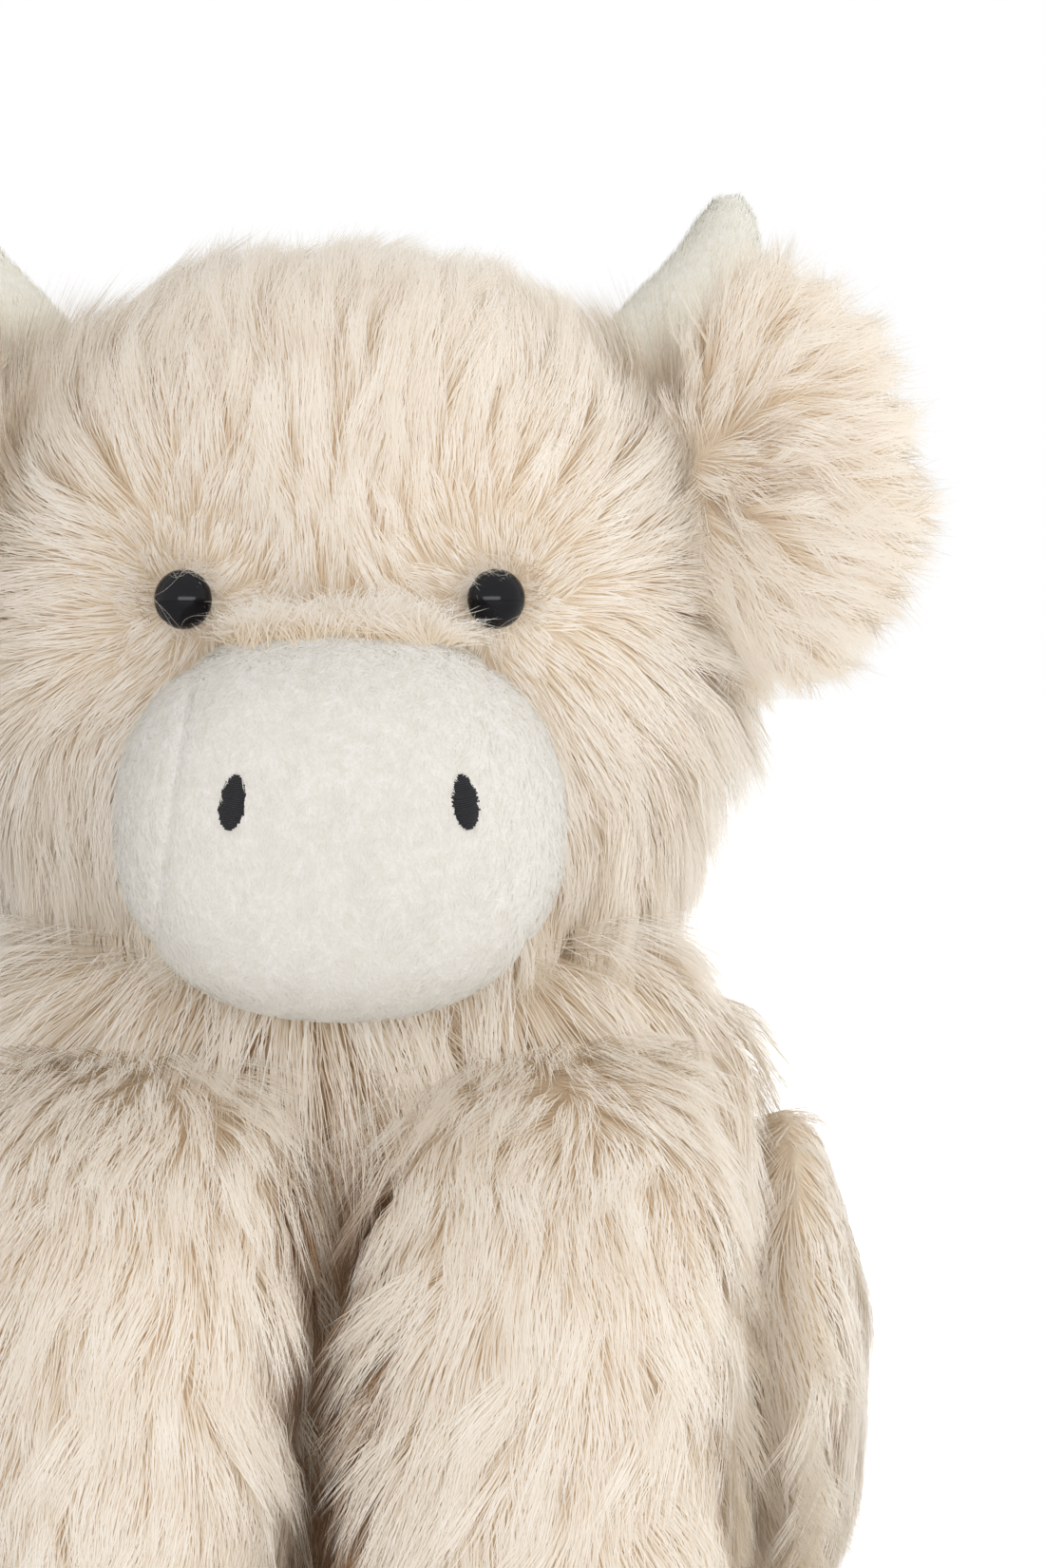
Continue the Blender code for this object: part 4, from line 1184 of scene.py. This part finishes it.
leg_x = 0.044
seam_swell = 0.0045
leg_slump = 0.007
whorls = {-1: -0.036, 1: 0.058}
for side, word in ((-1, "left"), (1, "right")):
    leg_mesh = sewn_form([(["front_leg_" + word], (side * leg_x, -0.102, 0.085))], voxel=0.0028, inset=0.0052)
    spots, leans = points_of(leg_mesh)
    slump = step_up(0.165 - spots[:, 2], 0.02, 0.12)
    spots[:, 0] -= leg_slump * slump * step_up(0.088 - spots[:, 0], 0.0, 0.06)
    seam = step_down(abs(spots[:, 1] + 0.058), 0.001, 0.014) * step_down(spots[:, 2], 0.120, 0.145)
    place_points(leg_mesh, spots + leans * (seam_swell * seam)[:, None])
    spots, leans = points_of(leg_mesh)
    x, y, z = spots.T
    outward = side * x - 0.042
    swirl = step_up(z, 0.118, 0.158)
    crown = step_up(leans[:, 2], 0.45, 0.85)
    ways = np.stack([x - whorls[side], -0.02 - 0.03 * crown, z - 0.186], 1)
    ways /= np.linalg.norm(ways, axis=1, keepdims=True)
    near_whorl = step_down(np.hypot(x - whorls[side], z - 0.166), 0.004, 0.020)[:, None]
    ways = ways * (1 - near_whorl) + np.array([0.5, -0.4, -0.8]) * near_whorl
    foot = step_down(z, 0.045, 0.075)
    ways[:, 0] += side * foot * 0.45 * step_up(outward, -0.01, 0.03)
    below = step_up(-leans[:, 2], 0.5, 0.95)
    pile = (1 - 0.8 * below) * (1 - 0.15 * swirl)
    hidden = step_up(leans[:, 1], 0.2, 0.7) * step_down(z, 0.135, 0.155)
    # Painted shade: the inner side of each leg, in the gap between the legs, gets a much darker tone; the
    # foot gets a slightly darker tone.
    tone = -0.08 * foot - 0.55 * step_up(-outward, 0.020, 0.036)
    cover = (1.25 - 0.85 * hidden) * (1 - 0.7 * below) * (1 + 0.5 * crown)
    comb(leg_mesh, ways, pile, cover, tone, 0.15 * foot + 0.5 * crown, wander=0.6, seed=60)
    leg = piece("front_leg_backing_" + word, leg_mesh, fur_backing)
    leg_fur = grow_pile(
        "front_leg_fur_" + word, leg_mesh, fur, hairs=8.5e5, locks=4.5e4, length=0.028, width=0.00027,
        seed=600 + side, droop=0.06,
    )
    settle([leg, leg_fur], "front_leg_l" if side < 0 else "front_leg_r", "long_fur", "front_leg_" + word)


# Hind legs.
# A round thigh on each hip seam and a foot that lies forward along the floor, both of the long fur.
# The pile runs down the thigh and forwards over the foot.

thigh_flattening = 0.10
foot_narrowing = 0.003
rim_draw = 0.0048
for side, word in ((-1, "left"), (1, "right")):
    thigh, foot = "hind_leg_" + word, "hind_foot_" + word
    limb_mesh = sewn_form(
        [([thigh], (side * 0.101, hip_y, hip_z)), ([foot], (side * 0.112, -0.070, 0.028))],
        voxel=0.0030,
        inset=0.0055,
        seams=((0, side * hip_offset),),
    )
    spots, _ = points_of(limb_mesh)
    spots[:, 2] -= thigh_flattening * np.maximum(spots[:, 2] - hip_z, 0)
    spots[:, 0] -= side * foot_narrowing * step_down(spots[:, 2], 0.03, 0.07)
    around = spots - np.array([0, hip_y, hip_z])
    around[:, 0] = 0
    around /= np.maximum(np.linalg.norm(around, axis=1), 0.001)[:, None]
    drawn = step_down(side * spots[:, 0], 0.089, 0.098) * step_up(spots[:, 2], 0.045, 0.065)
    place_points(limb_mesh, spots - around * (rim_draw * drawn)[:, None])
    spots, leans = points_of(limb_mesh)
    x, y, z = spots.T
    inner = step_up(-leans[:, 0] * side, 0.7, 0.95) * (np.hypot(y - hip_y, z - hip_z) < 0.050)
    below = step_up(-leans[:, 2], 0.5, 0.95)
    on_foot = step_up(-y, 0.035, 0.060)[:, None]
    on_thigh = np.stack([side * (0.3 + 0 * x), -0.25 + 3 * y, -1 + 0 * x], 1)
    ways = on_thigh * (1 - on_foot) + np.array([side * 0.25, -1, -0.35]) * on_foot
    by_seam = step_down(side * x, 0.094, 0.100) * step_up(leans[:, 2], 0.3, 0.7) * (z > 0.06)
    ways = ways * (1 - by_seam[:, None]) + np.array([-side, 0, -0.2]) * by_seam[:, None]
    top = step_up(z, 0.110, 0.140)
    stand = 0.6 * by_seam - 0.35 * top * (1 - by_seam)
    pile = (1 - 0.75 * below) * (1 - 0.5 * top * (1 - by_seam))
    cover = (1 - 0.9 * inner) * (1 - 0.6 * below) * (1 + by_seam)
    # Painted light: all the hind-leg pile gets a lighter tone, brightening the haunch.
    comb(limb_mesh, ways, pile, cover, 0.12, stand, wander=0.35, seed=70)
    limb = piece("hind_leg_backing_" + word, limb_mesh, fur_backing)
    limb_fur = grow_pile(
        "hind_leg_fur_" + word, limb_mesh, fur, hairs=9e5, locks=5e4, length=0.026, width=0.00029,
        seed=700 + side, lock_hold=0.4, lock_turn=0.2, droop=0.05,
    )
    settle([limb, limb_fur], "hind_leg_l" if side < 0 else "hind_leg_r", "long_fur", thigh, foot)


# Tail.
# A narrow fur tube that hangs down the back and ends in a tuft of longer hair.

tail_mesh = sewn_form(
    [(["tail"], (0, 0.080, 0.092)), (["tail_tuft"], (0, 0.0935, 0.034))],
    voxel=0.0018,
    inset=0.0048,
    seams=((1, 0.0661),),
)
height = points_of(tail_mesh)[0][:, 2]
tuft = step_down(height, 0.040, 0.058)
ways = np.stack([0 * tuft, 0.25 + 0 * tuft, -1 + 0 * tuft], 1)
comb(tail_mesh, ways, np.clip((height - 0.003) / 0.024, 0.15, 1) * (0.65 + 0.35 * tuft), seed=80)
tail = piece("tail_backing", tail_mesh, fur_backing)
tail_fur = grow_pile(
    "tail_fur", tail_mesh, fur, hairs=1.1e6, locks=1e5, length=0.026, width=0.00048, seed=800,
    lift=0.45, bend=0.35,
)
settle([tail, tail_fur], "tail_body", "long_fur", "tail", "tail_tuft")


# Inside.
# Loose fibre in every stuffed piece, a cotton bag of pellets in the seat, and the eyes' lock washers.
# They are hidden, but each keeps the finish of the real thing.

fibre = knit_finish("fibre_filling", srgb(238, 238, 234), loop=0.004, relief=0.0012)
cotton = knit_finish("bag_cotton", srgb(206, 198, 184), loop=0.0007, relief=0.0002)


def pack_inside(name, body, middle, voxel, lump, finish=fibre, slot="fibre_filling"):
    """One soft inner piece in the room of its CAD node, with lumps of that height."""
    packing = sewn_form([([name], middle)], voxel, 2 * lump, rounds=3)
    spots, leans = points_of(packing)
    place_points(packing, spots + leans * (lump * ripple(spots, 5 * voxel, 90))[:, None])
    packing.shade_smooth()
    inside = piece(name.replace("_filling", "_fibre").replace("pellet", "seat"), packing, finish)
    settle([inside], body, slot, name)


pack_inside("body_filling", "torso", (0, -0.008, 0.110), 0.005, 0.0016)
pack_inside("pellet_bag", "torso", (0, 0, 0.028), 0.003, 0.0007, cotton, "bag_cotton")
pack_inside("head_filling", "head", (0, -0.028, 0.255), 0.005, 0.0016)
for limb, body, x, y, z, voxel, lump in (
    ("horn", "head", 0.068, -0.015, 0.308, 0.002, 0.0005),
    ("front_leg", "front_leg", 0.044, -0.102, 0.085, 0.004, 0.0012),
    ("hind_leg", "hind_leg", 0.103, 0.006, 0.088, 0.003, 0.0010),
    ("hind_foot", "hind_leg", 0.114, -0.085, 0.026, 0.003, 0.0010),
):
    for side, word in ((-1, "left"), (1, "right")):
        held_by = body if body == "head" else body + "_" + word[0]
        pack_inside(limb + "_" + word + "_filling", held_by, (side * x, y, z), voxel, lump)
washer_plastic = mottled_finish(
    "washer_plastic", (600, 600, 600), srgb(224, 224, 220), srgb(236, 236, 233), Roughness=0.45
)
for word in ("left", "right"):
    washer = nodes["eye_washer_" + word].data
    washer.materials.clear()
    washer.materials.append(washer_plastic)


# Studio.
# A pale floor under a white surround, soft light from every side, and a long lens a little above the toy's
# middle, as in the photograph.

surround = 0.545
floor_glow = 0.6
distance = 1.55
frame_height = 0.330
film = 36
elevation = math.radians(4)
target = Vector((0.0384, -0.100, 0.222))

world = bpy.data.worlds.new("studio")
bpy.context.scene.world = world
world.use_nodes = True
tree = world.node_tree
tree.nodes.clear()
rays = put(tree, "ShaderNodeLightPath").outputs
num = tree_words(tree)[0]
seen = num("MAXIMUM", rays["Is Camera Ray"], rays["Is Transmission Ray"])
seen = num("MAXIMUM", seen, rays["Is Glossy Ray"])
lit = put(tree, "ShaderNodeBackground", {"Color": (1.0, 0.985, 0.97, 1), "Strength": surround})
plain = put(tree, "ShaderNodeBackground", {"Color": (1.0, 1.0, 1.0, 1), "Strength": 1.0})
mixed = put(tree, "ShaderNodeMixShader", {0: seen, 1: lit.outputs[0], 2: plain.outputs[0]})
tree.links.new(mixed.outputs[0], put(tree, "ShaderNodeOutputWorld").inputs[0])

constants = {"Base_Color": (0.86, 0.86, 0.86, 1), "Emission_Color": (1, 1, 1, 1)}
floor_finish, tree, shader = new_material("studio_floor", Roughness=0.9, **constants)
rays = put(tree, "ShaderNodeLightPath").outputs
glow = tree_words(tree)[0]("MULTIPLY", rays["Is Camera Ray"], floor_glow)
tree.links.new(glow, shader.inputs["Emission Strength"])
sheet = bmesh.new()
bmesh.ops.create_grid(sheet, x_segments=1, y_segments=1, size=4.0)
piece("studio_floor", mesh_of(sheet), floor_finish)


def soft_lamp(name, place, target, width, height, power):
    lamp = bpy.data.lights.new(name, "AREA")
    lamp.shape = "RECTANGLE"
    lamp.size = width
    lamp.size_y = height
    lamp.energy = power
    held = placed(name, lamp)
    held.location = place
    held.visible_glossy = name == "front_strip"
    held.rotation_euler = (Vector(target) - Vector(place)).to_track_quat("-Z", "Y").to_euler()


soft_lamp("key", (-1.6, -1.5, 1.9), (0, -0.05, 0.2), 3.0, 3.0, 6.0)
soft_lamp("fill", (2.0, -1.1, 0.9), (0, -0.05, 0.2), 2.6, 2.6, 15)
soft_lamp("side", (2.3, 0.5, 0.6), (0, 0, 0.2), 2.4, 2.4, 14)
soft_lamp("back", (0.3, 1.7, 1.8), (0, 0, 0.2), 2.6, 2.6, 20)
soft_lamp("front_strip", (-0.05, -2.0, 0.38), (0, -0.05, 0.25), 2.2, 0.35, 11)

lens = bpy.data.cameras.new("camera")
camera = placed("camera", lens)
bpy.context.scene.camera = camera
camera.location = (0.0, target.y - distance * math.cos(elevation), target.z + distance * math.sin(elevation))
camera.rotation_euler = (target - camera.location).to_track_quat("-Z", "Y").to_euler()
lens.sensor_fit = "VERTICAL"
lens.sensor_height = film
lens.lens = film * (target - camera.location).length / frame_height
bpy.context.scene.view_settings.view_transform = "Standard"
